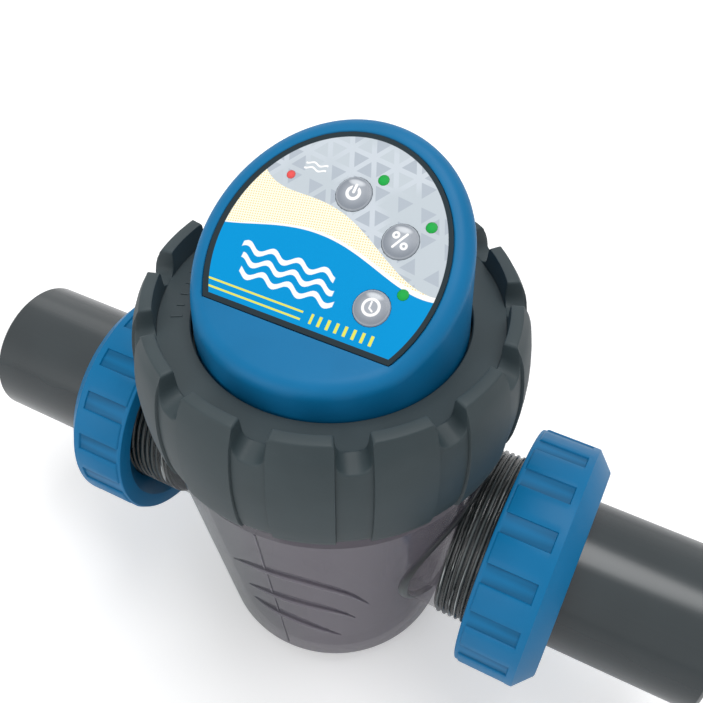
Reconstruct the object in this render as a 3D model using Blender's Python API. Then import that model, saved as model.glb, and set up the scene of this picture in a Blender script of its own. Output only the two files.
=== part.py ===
# Inline salt chlorine generator: a clear cell housing with two pipe unions, a big lock ring,
# and a head that carries the control panel above and the electrode pack below.
# Metres, +Z up, X along the pipes. The origin is under the middle of the foot.
import math

import bmesh
import bpy
from mathutils import Matrix, Vector

# Fits
SEAT_GAP = 0.0003          # between faces that rest on each other
SLIP_GAP = 0.0004          # radial, between pieces that slide or turn
SCREW_GAP = 0.0003         # radial, between a screw and its hole
FACET_GAP = 0.0002         # more, where flats of unlike number face each other
CUT_PAST = 0.0010          # how far a cut runs past the face it opens
JOIN_DEPTH = 0.0005        # how far joined forms reach into each other
MERGE_DISTANCE = 0.000002  # points closer than this become one

# Pipe line
AXIS_HEIGHT = 0.088        # pipe axis above the foot
HALF_LENGTH = 0.170        # middle to the end of a spigot
SPIGOT_RADIUS = 0.0315     # outside of the 63 mm spigot
SPIGOT_BORE = 0.025        # 50 mm socket in the spigot
SPIGOT_CHAMFER = 0.0015
NECK_END = 0.0970          # middle to the face of a port neck
NECK_BORE = 0.0290
NECK_ROOT = 0.0358         # thread root radius of a neck
NECK_THREAD_DEPTH = 0.0014
NECK_THREAD_START = 0.0600
NECK_THREAD_PITCH = 0.0056
FLANGE_THICKNESS = 0.0057  # flange of the tailpiece
UNION_SEAL_SECTION = 0.0022
UNION_SEAL_RADIUS = 0.0325

# Union nuts
NUT_RADIUS = 0.0520
NUT_PAD_DEPTH = 0.0014
NUT_PADS = 16
NUT_SLOT = math.radians(4.15)      # half the angle of the slot between two pads
NUT_PAD_SIDE = math.radians(0.5)
NUT_PAD_STEP = 0.0003      # along X, from a slot up to a pad
NUT_PAD_INSET = 0.0018     # from the inner face to the pads
NUT_BAND = 0.0031          # plain band between the slots and the nose
NUT_TURN = math.radians(1.5)       # middle of the first slot
NUT_EDGE = 0.0008
NUT_INNER_FACE = 0.0800    # middle to the face nearest the housing
NUT_MOUTH = 0.0445         # radius of the lead-in at that face
NUT_MOUTH_DEPTH = 0.0060
NUT_LIP_THICKNESS = 0.0084
NUT_NOSE_RADIUS = 0.0447
NUT_NOSE_LENGTH = 0.0069   # length of the chamfer at the nose

# Cell housing
CUP_RADIUS = 0.0626        # outside at the pipe axis
CUP_TAPER = 0.12           # radius gained per height
CUP_WALL = 0.0040
CUP_ROUND = 0.0100
CUP_SHOULDER = 0.0500      # height above the pipe axis where the cup ends
FOOT_RADIUS = 0.0420
FOOT_WIDTH = 0.0060
FOOT_HEIGHT = 0.0060
MOUTH_RADIUS = 0.0615      # bore that takes the cap
RIM_WALL = 0.0052
RIM_HEIGHT = 0.0902        # rim above the pipe axis
RIM_THREAD_DEPTH = 0.0008
RIM_THREAD_PITCH = 0.0072
RIM_THREADS = 3
RIB_HEIGHT = 0.0030
RIB_PROUD = 0.0014
RIBS = (                   # start, bend and end as (degrees round the cup, height above the pipe axis)
    ((-103.0, 0.0075), (-76.0, 0.0360), (-49.0, -0.0110)),
    ((-98.0, -0.0130), (-76.0, -0.0020), (-52.0, -0.0320)),
    ((-99.0, -0.0290), (-80.0, -0.0160), (-55.0, -0.0500)),
)

# Lock ring
RING_THICKNESS = 0.0071    # from the bore to the widest part
RING_BULGE = 0.0037        # radius lost from the middle to an edge
RING_SKIRT = 0.0327        # below the rim of the housing
RING_EDGE = 0.0012
DECK_THICKNESS = 0.0062
CROWN_HEIGHT = 0.0098      # above the deck
CROWN_WALL = 0.0049
RING_NOTCHES = 13
RING_TURN = -1.0           # degrees, middle of the first notch
NOTCH_WIDTH = 0.0125
NOTCH_SILL = 0.0002        # bottom of a notch above the deck
NOTCH_ROUND = 0.0045
NOTCH_FLARE = 0.0012
PAD_PROUD = 0.0009
PAD_SIDE = 0.0004          # along the rim, from a strip up to a pad

# Cap
CAP_THICKNESS = 0.0050
CAP_SKIRT = 0.0125         # length of the skirt in the mouth
CAP_SKIRT_WALL = 0.0056
CAP_SEAL_SECTION = 0.0030
SPIGOT_RING_HEIGHT = 0.0040
SPIGOT_RING_WIDTH = 0.0089
HEAD_SEAL_SECTION = 0.0016

# Head
HEAD_RADIUS = 0.0511       # at its foot
HEAD_DRAFT = 0.045         # radius lost per height
HEAD_WALL = 0.0026
HEAD_ROOF = 0.0030
HEAD_ROUND = 0.0060        # round at the top edge
SLOPE = math.radians(28.65)
SLOPE_RISE = 0.03777       # of the sloping top over the axis of the ring, above the head's foot
CHIN_SLOPE = math.radians(8.0)
CHIN_START = -0.0281       # where the chin leaves the slope

# Keypad
PANEL_RADIUS = 0.04285
PANEL_MIDDLE = -0.00441    # along Y
PANEL_CHORD = 0.0270       # down the slope from the panel's middle
PANEL_THICKNESS = 0.0007
BUTTON_RADIUS = 0.0064
BUTTON_TRAVEL = 0.0006
BUTTON_RISE = 0.0016
BUTTON_FLANGE = 0.0013     # wider than the button, so that it stays in
BUTTON_FLANGE_HEIGHT = 0.0009
BUTTON_PLACES = {
    "power_button": (-0.0002, 0.0251),
    "output_button": (0.0223, 0.0140),
    "timer_button": (0.0225, -0.0109),
}
LENS_PLACES = {
    "red_lens": ((-0.0252, 0.0251), 0.0014),
    "green_lens_1": ((0.0077, 0.0332), 0.0018),
    "green_lens_2": ((0.0303, 0.0221), 0.0018),
    "green_lens_3": ((0.0306, -0.0031), 0.0018),
}
LENS_RISE = 0.0004
LENS_COLLAR = 0.0008

# Inside the head
BOARD_DEPTH = 0.0094       # from the slope to the top of the board
BOARD_THICKNESS = 0.0016
BOARD_INSET = 0.0060
BOARD_BOSSES = ((-0.0300, 0.0100), (-0.0250, -0.0160), (0.0105, -0.0175), (-0.0120, 0.0370))
BOSS_RADIUS = 0.0028
BOARD_SCREW_RADIUS = 0.0011
BOARD_SCREW_LENGTH = 0.0055
BOARD_SCREW_CAP = 0.0014
SWITCH_SIZE = 0.0060
SWITCH_HEIGHT = 0.0032
HEAD_SCREW_RADIUS = 0.0020
HEAD_SCREW_CIRCLE = 0.0430
HEAD_BOSS_RADIUS = 0.0038
HEAD_SCREW_LENGTH = 0.0220
HEAD_SCREW_CAP = 0.0022    # height of the screw's own head
HOLE_END_GAP = 0.0005      # between the tip of a screw and the end of its hole
MODULE_SIZE = (0.0300, 0.0260, 0.0190)
MODULE_PLACE = 0.0210      # along Y
POST_RADIUS = 0.0030
POST_PLACE = 0.0200        # along X, both sides
POST_RISE = 0.0100         # above the cap
POST_NUT_RADIUS = 0.0050
POST_NUT_HEIGHT = 0.0040
LEAD_RADIUS = 0.0012
MODULE_EDGE = 0.0012

# Cable gland at the back of the head
GLAND_RISE = 0.0322        # above the head's foot
GLAND_BOSS_RADIUS = 0.0110
GLAND_BOSS_FACE = 0.0512   # along Y
GLAND_STEM_RADIUS = 0.0060
GLAND_BARREL_RADIUS = 0.0075
GLAND_FLANGE = 0.0035
GLAND_BARREL = 0.0070
GLAND_HEX = 0.0095
GLAND_BORE = 0.0052
CABLE_BORE = 0.00375
GLAND_NUT_LENGTH = 0.0125
GLAND_NUT_NOSE = 0.0050
GLAND_THROAT = 0.0030      # past the end of the barrel, where the seal is squeezed
GLAND_NUT_INSIDE = 0.0030  # thickness of the nut inside the head
GLAND_STEM_PAST = 0.0036   # stem past the wall of the head

# Electrode pack
PLATES = 7
PLATE_PITCH = 0.0060
PLATE_THICKNESS = 0.0010
PLATE_LENGTH = 0.0660
PLATE_HEIGHT = 0.1340
HOLDER_LENGTH = 0.0740
HOLDER_ROOF = 0.0062       # from the plates to the top of the holder
HOLDER_EDGE = 0.0040
HOLDER_GRIP = 0.0100       # plate held in the holder
COMB_LENGTH = 0.0120
COMB_GRIP = 0.0050
COMB_FLOOR = 0.0050
SENSOR_RADIUS = 0.0035
SENSOR_FLANGE_RADIUS = 0.0060
SENSOR_PLACE = -0.0340     # along Y
SENSOR_LENGTH = 0.0420
SENSOR_FLANGE_HEIGHT = 0.0030
SENSOR_TIP = 0.0020
SENSOR_STUB = 0.0030       # above the cap

# Heights above the foot
RIM_TOP = AXIS_HEIGHT + RIM_HEIGHT
CAP_BOTTOM = RIM_TOP + SEAT_GAP
CAP_TOP = CAP_BOTTOM + CAP_THICKNESS
HEAD_FOOT = CAP_TOP + SEAT_GAP
DECK_BOTTOM = CAP_TOP + SEAT_GAP
DECK_TOP = DECK_BOTTOM + DECK_THICKNESS
CROWN_TOP = DECK_TOP + CROWN_HEIGHT
RING_BOTTOM = RIM_TOP - RING_SKIRT
HOLDER_TOP = CAP_BOTTOM - SEAT_GAP
PLATE_TOP = HOLDER_TOP - HOLDER_ROOF
PLATE_BOTTOM = PLATE_TOP - PLATE_HEIGHT
CUP_UNDERSIDE = FOOT_HEIGHT
CUP_FLOOR = CUP_UNDERSIDE + CUP_WALL
RIM_ROOT = MOUTH_RADIUS + RIM_WALL
RIM_CREST = RIM_ROOT + RIM_THREAD_DEPTH
RING_BORE = RIM_CREST + SLIP_GAP
RING_RADIUS = RING_BORE + RING_THICKNESS
NECK_CREST = NECK_ROOT + NECK_THREAD_DEPTH
NUT_BORE = NECK_CREST + SLIP_GAP
FLANGE_FACE = NECK_END + SEAT_GAP
FLANGE_BACK = FLANGE_FACE + FLANGE_THICKNESS
FLANGE_RADIUS = NUT_BORE - SLIP_GAP
NUT_LIP_FACE = FLANGE_BACK + SEAT_GAP
NUT_OUTER_FACE = NUT_LIP_FACE + NUT_LIP_THICKNESS
SHELL_BORE = HEAD_RADIUS - HEAD_WALL
DECK_BORE = HEAD_RADIUS + SLIP_GAP + FACET_GAP
SPIGOT_RING_RADIUS = SHELL_BORE - SLIP_GAP - FACET_GAP
SPIGOT_RING_TOP = CAP_TOP + SPIGOT_RING_HEIGHT
PANEL_HEIGHT = HEAD_FOOT + SLOPE_RISE + PANEL_MIDDLE * math.tan(SLOPE)
RECESS_DEPTH = PANEL_THICKNESS + SEAT_GAP
PANEL_FRAME = Matrix.Translation((0.0, PANEL_MIDDLE, PANEL_HEIGHT)) @ Matrix.Rotation(SLOPE, 4, "X")

# Sides of the round forms
ROUND_STEPS = 36
HEAD_STEPS = 44
PIPE_STEPS = 28
HEX_STEPS = 24
BUTTON_STEPS = 20
GLAND_STEPS = 16
LENS_STEPS = 12
SMALL_STEPS = 10
PANEL_STEPS = 36
BOARD_STEPS = 24


# Scene and materials

def clear_scene():
    for item in list(bpy.data.objects):
        bpy.data.objects.remove(item, do_unlink=True)


def make_material(name, colour, roughness, metallic=0.0, alpha=1.0):
    material = bpy.data.materials.new(name)
    material.use_nodes = True
    shader = material.node_tree.nodes["Principled BSDF"]
    shader.inputs["Base Color"].default_value = (*colour, 1.0)
    shader.inputs["Roughness"].default_value = roughness
    shader.inputs["Metallic"].default_value = metallic
    shader.inputs["Alpha"].default_value = alpha
    material.diffuse_color = (*colour, alpha)
    return material


def make_materials():
    return {
        "blue_plastic": make_material("blue_plastic", (0.013, 0.155, 0.376), 0.42),
        "dark_plastic": make_material("dark_plastic", (0.061, 0.074, 0.080), 0.50),
        "pipe_plastic": make_material("pipe_plastic", (0.065, 0.076, 0.080), 0.35),
        "clear_plastic": make_material("clear_plastic", (0.16, 0.15, 0.18), 0.12, alpha=0.45),
        "keypad_film": make_material("keypad_film", (0.02, 0.30, 0.70), 0.35),
        "key_rubber": make_material("key_rubber", (0.30, 0.32, 0.35), 0.30),
        "seal_rubber": make_material("seal_rubber", (0.02, 0.02, 0.02), 0.70),
        "green_lens": make_material("green_lens", (0.01, 0.42, 0.07), 0.20),
        "red_lens": make_material("red_lens", (0.75, 0.04, 0.03), 0.20),
        "board": make_material("board", (0.02, 0.16, 0.06), 0.45),
        "black_plastic": make_material("black_plastic", (0.02, 0.02, 0.022), 0.45),
        "titanium": make_material("titanium", (0.42, 0.40, 0.38), 0.35, 1.0),
        "steel": make_material("steel", (0.60, 0.60, 0.62), 0.25, 1.0),
        "lead_sleeve": make_material("lead_sleeve", (0.30, 0.02, 0.02), 0.50),
    }


# Mesh helpers

def shade(mesh):
    mesh.shade_smooth()
    mesh.set_sharp_from_angle(angle=math.radians(30.0))


def make_object(name, form, material, origin=(0.0, 0.0, 0.0), parent=None):
    bmesh.ops.recalc_face_normals(form, faces=form.faces)
    mesh = bpy.data.meshes.new(name)
    form.to_mesh(mesh)
    form.free()
    mesh.transform(Matrix.Translation(-Vector(origin)))
    mesh.materials.append(material)
    shade(mesh)
    item = bpy.data.objects.new(name, mesh)
    item.location = origin
    item.parent = parent
    bpy.context.scene.collection.objects.link(item)
    return item


def combine(target, tools, operation):
    """Add to, or cut from, the target with each tool, and remove the tools."""
    for tool in tools:
        modifier = target.modifiers.new(operation, "BOOLEAN")
        modifier.operation = operation
        modifier.solver = "EXACT"
        modifier.object = tool
        graph = bpy.context.evaluated_depsgraph_get()
        result = bpy.data.meshes.new_from_object(target.evaluated_get(graph), depsgraph=graph)
        target.modifiers.clear()
        old = target.data
        target.data = result
        result.name = target.name
        bpy.data.meshes.remove(old)
        bpy.data.objects.remove(tool, do_unlink=True)
    tidy_mesh(target.data)
    shade(target.data)


def tidy_mesh(mesh):
    form = bmesh.new()
    form.from_mesh(mesh)
    bmesh.ops.remove_doubles(form, verts=form.verts, dist=MERGE_DISTANCE)
    bmesh.ops.dissolve_degenerate(form, edges=form.edges, dist=MERGE_DISTANCE)
    form.to_mesh(mesh)
    form.free()


def place(form, matrix):
    bmesh.ops.transform(form, matrix=matrix, verts=form.verts)
    return form


def along_x(side):
    """Turns a form made along +Z so that it runs along X at the height of the pipe axis."""
    return Matrix.Translation((0.0, 0.0, AXIS_HEIGHT)) @ Matrix.Rotation(side * math.pi / 2, 4, "Y")


def loft_ring(columns):
    """Closed skin over columns of points that go once round the axis."""
    form = bmesh.new()
    rings = [[form.verts.new(point) for point in column] for column in columns]
    rows = len(columns[0])
    for index, ring in enumerate(rings):
        after = rings[(index + 1) % len(rings)]
        for row in range(rows):
            other = (row + 1) % rows
            form.faces.new((ring[row], ring[other], after[other], after[row]))
    return form


def revolve(profile, steps=ROUND_STEPS):
    """Turns a closed outline of (radius, height) round Z. An outline may start and end on the axis."""
    form = bmesh.new()
    solid = profile[0][0] == 0.0
    outline = profile[1:-1] if solid else profile
    rings = []
    for step in range(steps):
        angle = 2.0 * math.pi * step / steps
        rings.append([form.verts.new((r * math.cos(angle), r * math.sin(angle), z)) for r, z in outline])
    sides = len(outline) - 1 if solid else len(outline)
    for step in range(steps):
        ring = rings[step]
        after = rings[(step + 1) % steps]
        for row in range(sides):
            other = (row + 1) % len(outline)
            form.faces.new((ring[row], ring[other], after[other], after[row]))
    if solid:
        form.faces.new([ring[0] for ring in rings])
        form.faces.new([ring[-1] for ring in rings])
    return form


def rod(radius, low, high, steps=SMALL_STEPS, centre=(0.0, 0.0)):
    form = revolve([(0.0, low), (radius, low), (radius, high), (0.0, high)], steps)
    return place(form, Matrix.Translation((centre[0], centre[1], 0.0)))


def tube(outer, inner, low, high, steps=SMALL_STEPS):
    return revolve([(inner, low), (outer, low), (outer, high), (inner, high)], steps)


def hex_nut(corner, bore, low, high):
    """Six flats outside and a round bore."""
    columns = []
    for step in range(HEX_STEPS):
        angle = 2.0 * math.pi * step / HEX_STEPS
        lean = (angle + math.pi / 6) % (math.pi / 3) - math.pi / 6
        outer = corner * math.cos(math.pi / 6) / math.cos(lean)
        profile = [(bore, low), (outer, low), (outer, high), (bore, high)]
        columns.append([(r * math.cos(angle), r * math.sin(angle), z) for r, z in profile])
    return loft_ring(columns)


def torus(radius, section, height, steps=ROUND_STEPS, around=6):
    profile = []
    for step in range(around):
        angle = 2.0 * math.pi * (step + 0.5) / around
        profile.append((radius + section / 2 * math.cos(angle), height + section / 2 * math.sin(angle)))
    return revolve(profile, steps)


def box(low, high):
    form = bmesh.new()
    size = Vector(high) - Vector(low)
    middle = (Vector(high) + Vector(low)) / 2
    bmesh.ops.create_cube(form, size=1.0, matrix=Matrix.Translation(middle) @ Matrix.Diagonal((*size, 1.0)))
    return form


def extrude_outline(points, low, high, axis="Z"):
    """Prism over an outline of (a, b) points. Along X the outline lies in Y and Z."""
    form = bmesh.new()
    if axis == "Z":
        near = [form.verts.new((a, b, low)) for a, b in points]
        far = [form.verts.new((a, b, high)) for a, b in points]
    else:
        near = [form.verts.new((low, a, b)) for a, b in points]
        far = [form.verts.new((high, a, b)) for a, b in points]
    form.faces.new(near)
    form.faces.new(far)
    for index in range(len(points)):
        other = (index + 1) % len(points)
        form.faces.new((near[index], near[other], far[other], far[index]))
    return form


def merge(forms):
    """Puts several separate forms into one."""
    whole = bmesh.new()
    for form in forms:
        part = bpy.data.meshes.new("part")
        bmesh.ops.recalc_face_normals(form, faces=form.faces)
        form.to_mesh(part)
        form.free()
        whole.from_mesh(part)
        bpy.data.meshes.remove(part)
    return whole


def cutter(name, form, material):
    item = make_object(name, form, material)
    item.hide_render = True
    item.display_type = "WIRE"
    return item


# Cell housing, with its two port necks

def cup_radius(height):
    """Outside of the cup at a height above the foot."""
    return CUP_RADIUS + CUP_TAPER * (height - AXIS_HEIGHT)


def cup_form():
    corner = cup_radius(CUP_UNDERSIDE) - CUP_ROUND
    foot_inner = FOOT_RADIUS - FOOT_WIDTH
    profile = [(0.0, CUP_UNDERSIDE), (foot_inner, CUP_UNDERSIDE), (foot_inner, 0.0)]
    profile += [(FOOT_RADIUS, 0.0), (FOOT_RADIUS, CUP_UNDERSIDE)]
    arc = 3
    for step in range(1, arc + 1):
        angle = math.pi / 2 * step / arc
        height = CUP_UNDERSIDE + CUP_ROUND * (1.0 - math.cos(angle))
        lean = cup_radius(height) - cup_radius(CUP_UNDERSIDE)
        profile.append((corner + CUP_ROUND * math.sin(angle) + lean, height))
    shoulder = AXIS_HEIGHT + CUP_SHOULDER
    slant = cup_radius(shoulder) - RIM_ROOT
    profile += [(cup_radius(shoulder), shoulder), (RIM_ROOT, shoulder + slant)]
    start = RIM_TOP - RING_SKIRT + RIM_THREAD_PITCH / 2
    for turn in range(RIM_THREADS):
        height = start + turn * RIM_THREAD_PITCH
        profile.append((RIM_ROOT, height))
        profile.append((RIM_CREST, height + RIM_THREAD_PITCH / 2))
    profile += [(RIM_ROOT, start + RIM_THREADS * RIM_THREAD_PITCH), (RIM_ROOT, RIM_TOP), (0.0, RIM_TOP)]
    return revolve(profile)


def cavity_form():
    floor_radius = cup_radius(CUP_FLOOR) - CUP_WALL
    straight = AXIS_HEIGHT + (MOUTH_RADIUS + CUP_WALL - CUP_RADIUS) / CUP_TAPER
    inner_round = CUP_ROUND - CUP_WALL
    profile = [(0.0, CUP_FLOOR), (floor_radius - inner_round, CUP_FLOOR)]
    profile += [(floor_radius - inner_round * 0.3, CUP_FLOOR + inner_round * 0.3)]
    profile += [(cup_radius(CUP_FLOOR + inner_round) - CUP_WALL, CUP_FLOOR + inner_round)]
    profile += [(MOUTH_RADIUS, straight), (MOUTH_RADIUS, RIM_TOP + CUP_WALL), (0.0, RIM_TOP + CUP_WALL)]
    return revolve(profile)


def neck_form(side):
    root = CUP_RADIUS * 0.68
    profile = [(0.0, root), (NECK_ROOT, root)]
    turns = int((NECK_END - NECK_THREAD_START) / NECK_THREAD_PITCH - 0.4)
    for turn in range(turns):
        place_x = NECK_THREAD_START + turn * NECK_THREAD_PITCH
        profile.append((NECK_ROOT, place_x))
        profile.append((NECK_CREST, place_x + NECK_THREAD_PITCH / 2))
    profile.append((NECK_ROOT, NECK_THREAD_START + turns * NECK_THREAD_PITCH))
    profile += [(NECK_ROOT, NECK_END), (0.0, NECK_END)]
    return place(revolve(profile, PIPE_STEPS), along_x(side))


def rib_form(start, bend, end, turn):
    """A tapering rib on the cup, along a curve from start towards bend to end."""
    form = bmesh.new()
    sections = []
    steps = 7
    for step in range(steps + 1):
        t = step / steps
        weights = ((1 - t) ** 2, 2 * t * (1 - t), t * t)
        angle, height = [sum(w * v for w, v in zip(weights, values)) for values in zip(start, bend, end)]
        angle = math.radians(angle) + turn
        height += AXIS_HEIGHT
        swell = 0.25 + 0.75 * math.sin(math.pi * t)
        outer = cup_radius(height) + RIB_PROUD * swell
        inner = cup_radius(height) - CUP_WALL / 2
        corners = []
        for radius, lift in ((inner, -0.5), (outer, -0.4), (outer, 0.4), (inner, 0.5)):
            z = height + RIB_HEIGHT * swell * lift
            corners.append(form.verts.new((radius * math.cos(angle), radius * math.sin(angle), z)))
        sections.append(corners)
    form.faces.new(sections[0])
    form.faces.new(sections[-1])
    for near, far in zip(sections, sections[1:]):
        for index in range(4):
            other = (index + 1) % 4
            form.faces.new((near[index], near[other], far[other], far[index]))
    return form


def make_housing(materials):
    clear = materials["clear_plastic"]
    housing = make_object("cell_housing", cup_form(), clear)
    combine(housing, [cutter("neck", neck_form(side), clear) for side in (1, -1)], "UNION")
    ribs = [rib_form(*rib, turn) for turn in (0.0, math.pi) for rib in RIBS]
    combine(housing, [cutter("ribs", merge(ribs), clear)], "UNION")
    bore = place(rod(NECK_BORE, -NECK_END - CUP_WALL, NECK_END + CUP_WALL, PIPE_STEPS), along_x(1))
    combine(housing, [cutter("cavity", cavity_form(), clear), cutter("bore", bore, clear)], "DIFFERENCE")
    return housing


# Unions: tailpiece, seal and nut at each end

def tailpiece_form(side):
    groove_in = UNION_SEAL_RADIUS - UNION_SEAL_SECTION / 2 - SEAT_GAP
    groove_out = UNION_SEAL_RADIUS + UNION_SEAL_SECTION / 2 + SEAT_GAP
    groove_floor = FLANGE_FACE + UNION_SEAL_SECTION + SEAT_GAP
    profile = [(SPIGOT_BORE, FLANGE_FACE), (groove_in, FLANGE_FACE), (groove_in, groove_floor)]
    profile += [(groove_out, groove_floor), (groove_out, FLANGE_FACE), (FLANGE_RADIUS, FLANGE_FACE)]
    profile += [(FLANGE_RADIUS, FLANGE_BACK), (SPIGOT_RADIUS, FLANGE_BACK)]
    profile += [(SPIGOT_RADIUS, HALF_LENGTH - SPIGOT_CHAMFER)]
    profile += [(SPIGOT_RADIUS - SPIGOT_CHAMFER, HALF_LENGTH), (SPIGOT_BORE, HALF_LENGTH)]
    return place(revolve(profile, PIPE_STEPS), along_x(side))


def nut_form(side):
    columns = []
    pitch = 2.0 * math.pi / NUT_PADS
    slot_radius = NUT_RADIUS - NUT_PAD_DEPTH
    nose = NUT_OUTER_FACE - NUT_NOSE_LENGTH
    slot_end = nose - NUT_BAND
    pad_start = NUT_SLOT + NUT_PAD_SIDE
    places = [(-NUT_SLOT, slot_radius), (NUT_SLOT, slot_radius), (pad_start, NUT_RADIUS)]
    places += [(pitch / 2, NUT_RADIUS), (pitch - pad_start, NUT_RADIUS)]
    for pad in range(NUT_PADS):
        for offset, radius in places:
            angle = pad * pitch + offset + side * NUT_TURN
            profile = [(NUT_MOUTH, NUT_INNER_FACE), (NUT_BORE, NUT_INNER_FACE + NUT_MOUTH_DEPTH)]
            profile += [(NUT_BORE, NUT_LIP_FACE), (SPIGOT_RADIUS + SLIP_GAP, NUT_LIP_FACE)]
            profile += [(SPIGOT_RADIUS + SLIP_GAP, NUT_OUTER_FACE), (NUT_NOSE_RADIUS, NUT_OUTER_FACE)]
            profile += [(NUT_RADIUS, nose), (NUT_RADIUS, slot_end), (radius, slot_end - NUT_PAD_STEP)]
            profile += [(radius, NUT_INNER_FACE + NUT_PAD_INSET)]
            profile += [(slot_radius, NUT_INNER_FACE + NUT_PAD_INSET - NUT_PAD_STEP)]
            profile += [(slot_radius - NUT_EDGE, NUT_INNER_FACE)]
            columns.append([(r * math.cos(angle), r * math.sin(angle), x) for r, x in profile])
    return place(loft_ring(columns), along_x(side))


def make_union(name, side, materials):
    axis_point = (side * NUT_INNER_FACE, 0.0, AXIS_HEIGHT)
    make_object(name + "_tailpiece", tailpiece_form(side), materials["pipe_plastic"])
    make_object(name + "_union_nut", nut_form(side), materials["blue_plastic"], axis_point)
    seal = torus(UNION_SEAL_RADIUS, UNION_SEAL_SECTION, FLANGE_FACE + UNION_SEAL_SECTION / 2, PIPE_STEPS)
    make_object(name + "_union_seal", place(seal, along_x(side)), materials["seal_rubber"])


# Lock ring

def ring_column(angle, proud):
    middle = (RING_BOTTOM + CROWN_TOP) / 2
    half = (CROWN_TOP - RING_BOTTOM) / 2
    sunk = PAD_PROUD - proud
    profile = []
    levels = 5
    for level in range(levels + 1):
        height = RING_BOTTOM + RING_EDGE + (CROWN_TOP - RING_BOTTOM - 2 * RING_EDGE) * level / levels
        reach = (height - middle) / half
        profile.append((RING_RADIUS - RING_BULGE * reach * reach - sunk, height))
    crown_outer = RING_RADIUS - RING_BULGE
    profile.insert(0, (crown_outer - RING_EDGE - sunk, RING_BOTTOM))
    crown_lip = crown_outer - 2 * RING_EDGE - sunk
    crown_inner = crown_outer - 2 * RING_EDGE - CROWN_WALL
    profile.append((crown_lip, CROWN_TOP))
    profile.append((crown_inner, CROWN_TOP))
    profile += [(crown_inner, DECK_TOP), (DECK_BORE, DECK_TOP)]
    profile += [(DECK_BORE, DECK_BOTTOM), (RING_BORE, DECK_BOTTOM)]
    profile += [(RING_BORE, RING_BOTTOM + RING_EDGE), (RING_BORE + RING_EDGE / 2, RING_BOTTOM)]
    return [(r * math.cos(angle), r * math.sin(angle), z) for r, z in profile]


def ring_form():
    pitch = 2.0 * math.pi / RING_NOTCHES
    half_notch = NOTCH_WIDTH / 2 / RING_RADIUS
    pad_columns = 4
    columns = []
    for notch in range(RING_NOTCHES):
        middle = math.radians(RING_TURN) + notch * pitch
        for offset in (-half_notch, 0.0, half_notch):
            columns.append(ring_column(middle + offset, 0.0))
        first = half_notch + PAD_SIDE / RING_RADIUS
        span = pitch - 2 * first
        for pad in range(pad_columns):
            columns.append(ring_column(middle + first + span * pad / (pad_columns - 1), PAD_PROUD))
    return loft_ring(columns)


def notch_form(notch):
    """A round-cornered slot through the crown, along its radius."""
    sill = DECK_TOP + NOTCH_SILL
    half = NOTCH_WIDTH / 2 - PAD_SIDE
    top = CROWN_TOP + NOTCH_FLARE
    outline = [(-half - 2 * NOTCH_FLARE, top), (-half, CROWN_TOP - NOTCH_FLARE)]
    for side in (-1, 1):
        for step in range(4):
            angle = math.pi / 2 * (step / 3 if side < 0 else 1 - step / 3)
            across = side * (half - NOTCH_ROUND + NOTCH_ROUND * math.cos(angle))
            outline.append((across, sill + NOTCH_ROUND * (1.0 - math.sin(angle))))
    outline += [(half, CROWN_TOP - NOTCH_FLARE), (half + 2 * NOTCH_FLARE, top)]
    crown_inner = RING_RADIUS - RING_BULGE - 2 * RING_EDGE - CROWN_WALL
    form = extrude_outline(outline, crown_inner - CROWN_WALL, RING_RADIUS + RING_EDGE, "X")
    turn = math.radians(RING_TURN) + notch * 2.0 * math.pi / RING_NOTCHES
    return place(form, Matrix.Rotation(turn, 4, "Z"))


def make_ring(materials):
    dark = materials["dark_plastic"]
    ring = make_object("lock_ring", ring_form(), dark)
    notches = merge([notch_form(notch) for notch in range(RING_NOTCHES)])
    combine(ring, [cutter("notches", notches, dark)], "DIFFERENCE")
    return ring


# Cap, its seals and screws

def screw_places():
    for quarter in range(4):
        angle = math.pi / 4 + quarter * math.pi / 2
        yield HEAD_SCREW_CIRCLE * math.cos(angle), HEAD_SCREW_CIRCLE * math.sin(angle)


def cap_seal_middle():
    return CAP_BOTTOM - CAP_SKIRT * 0.55


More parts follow.
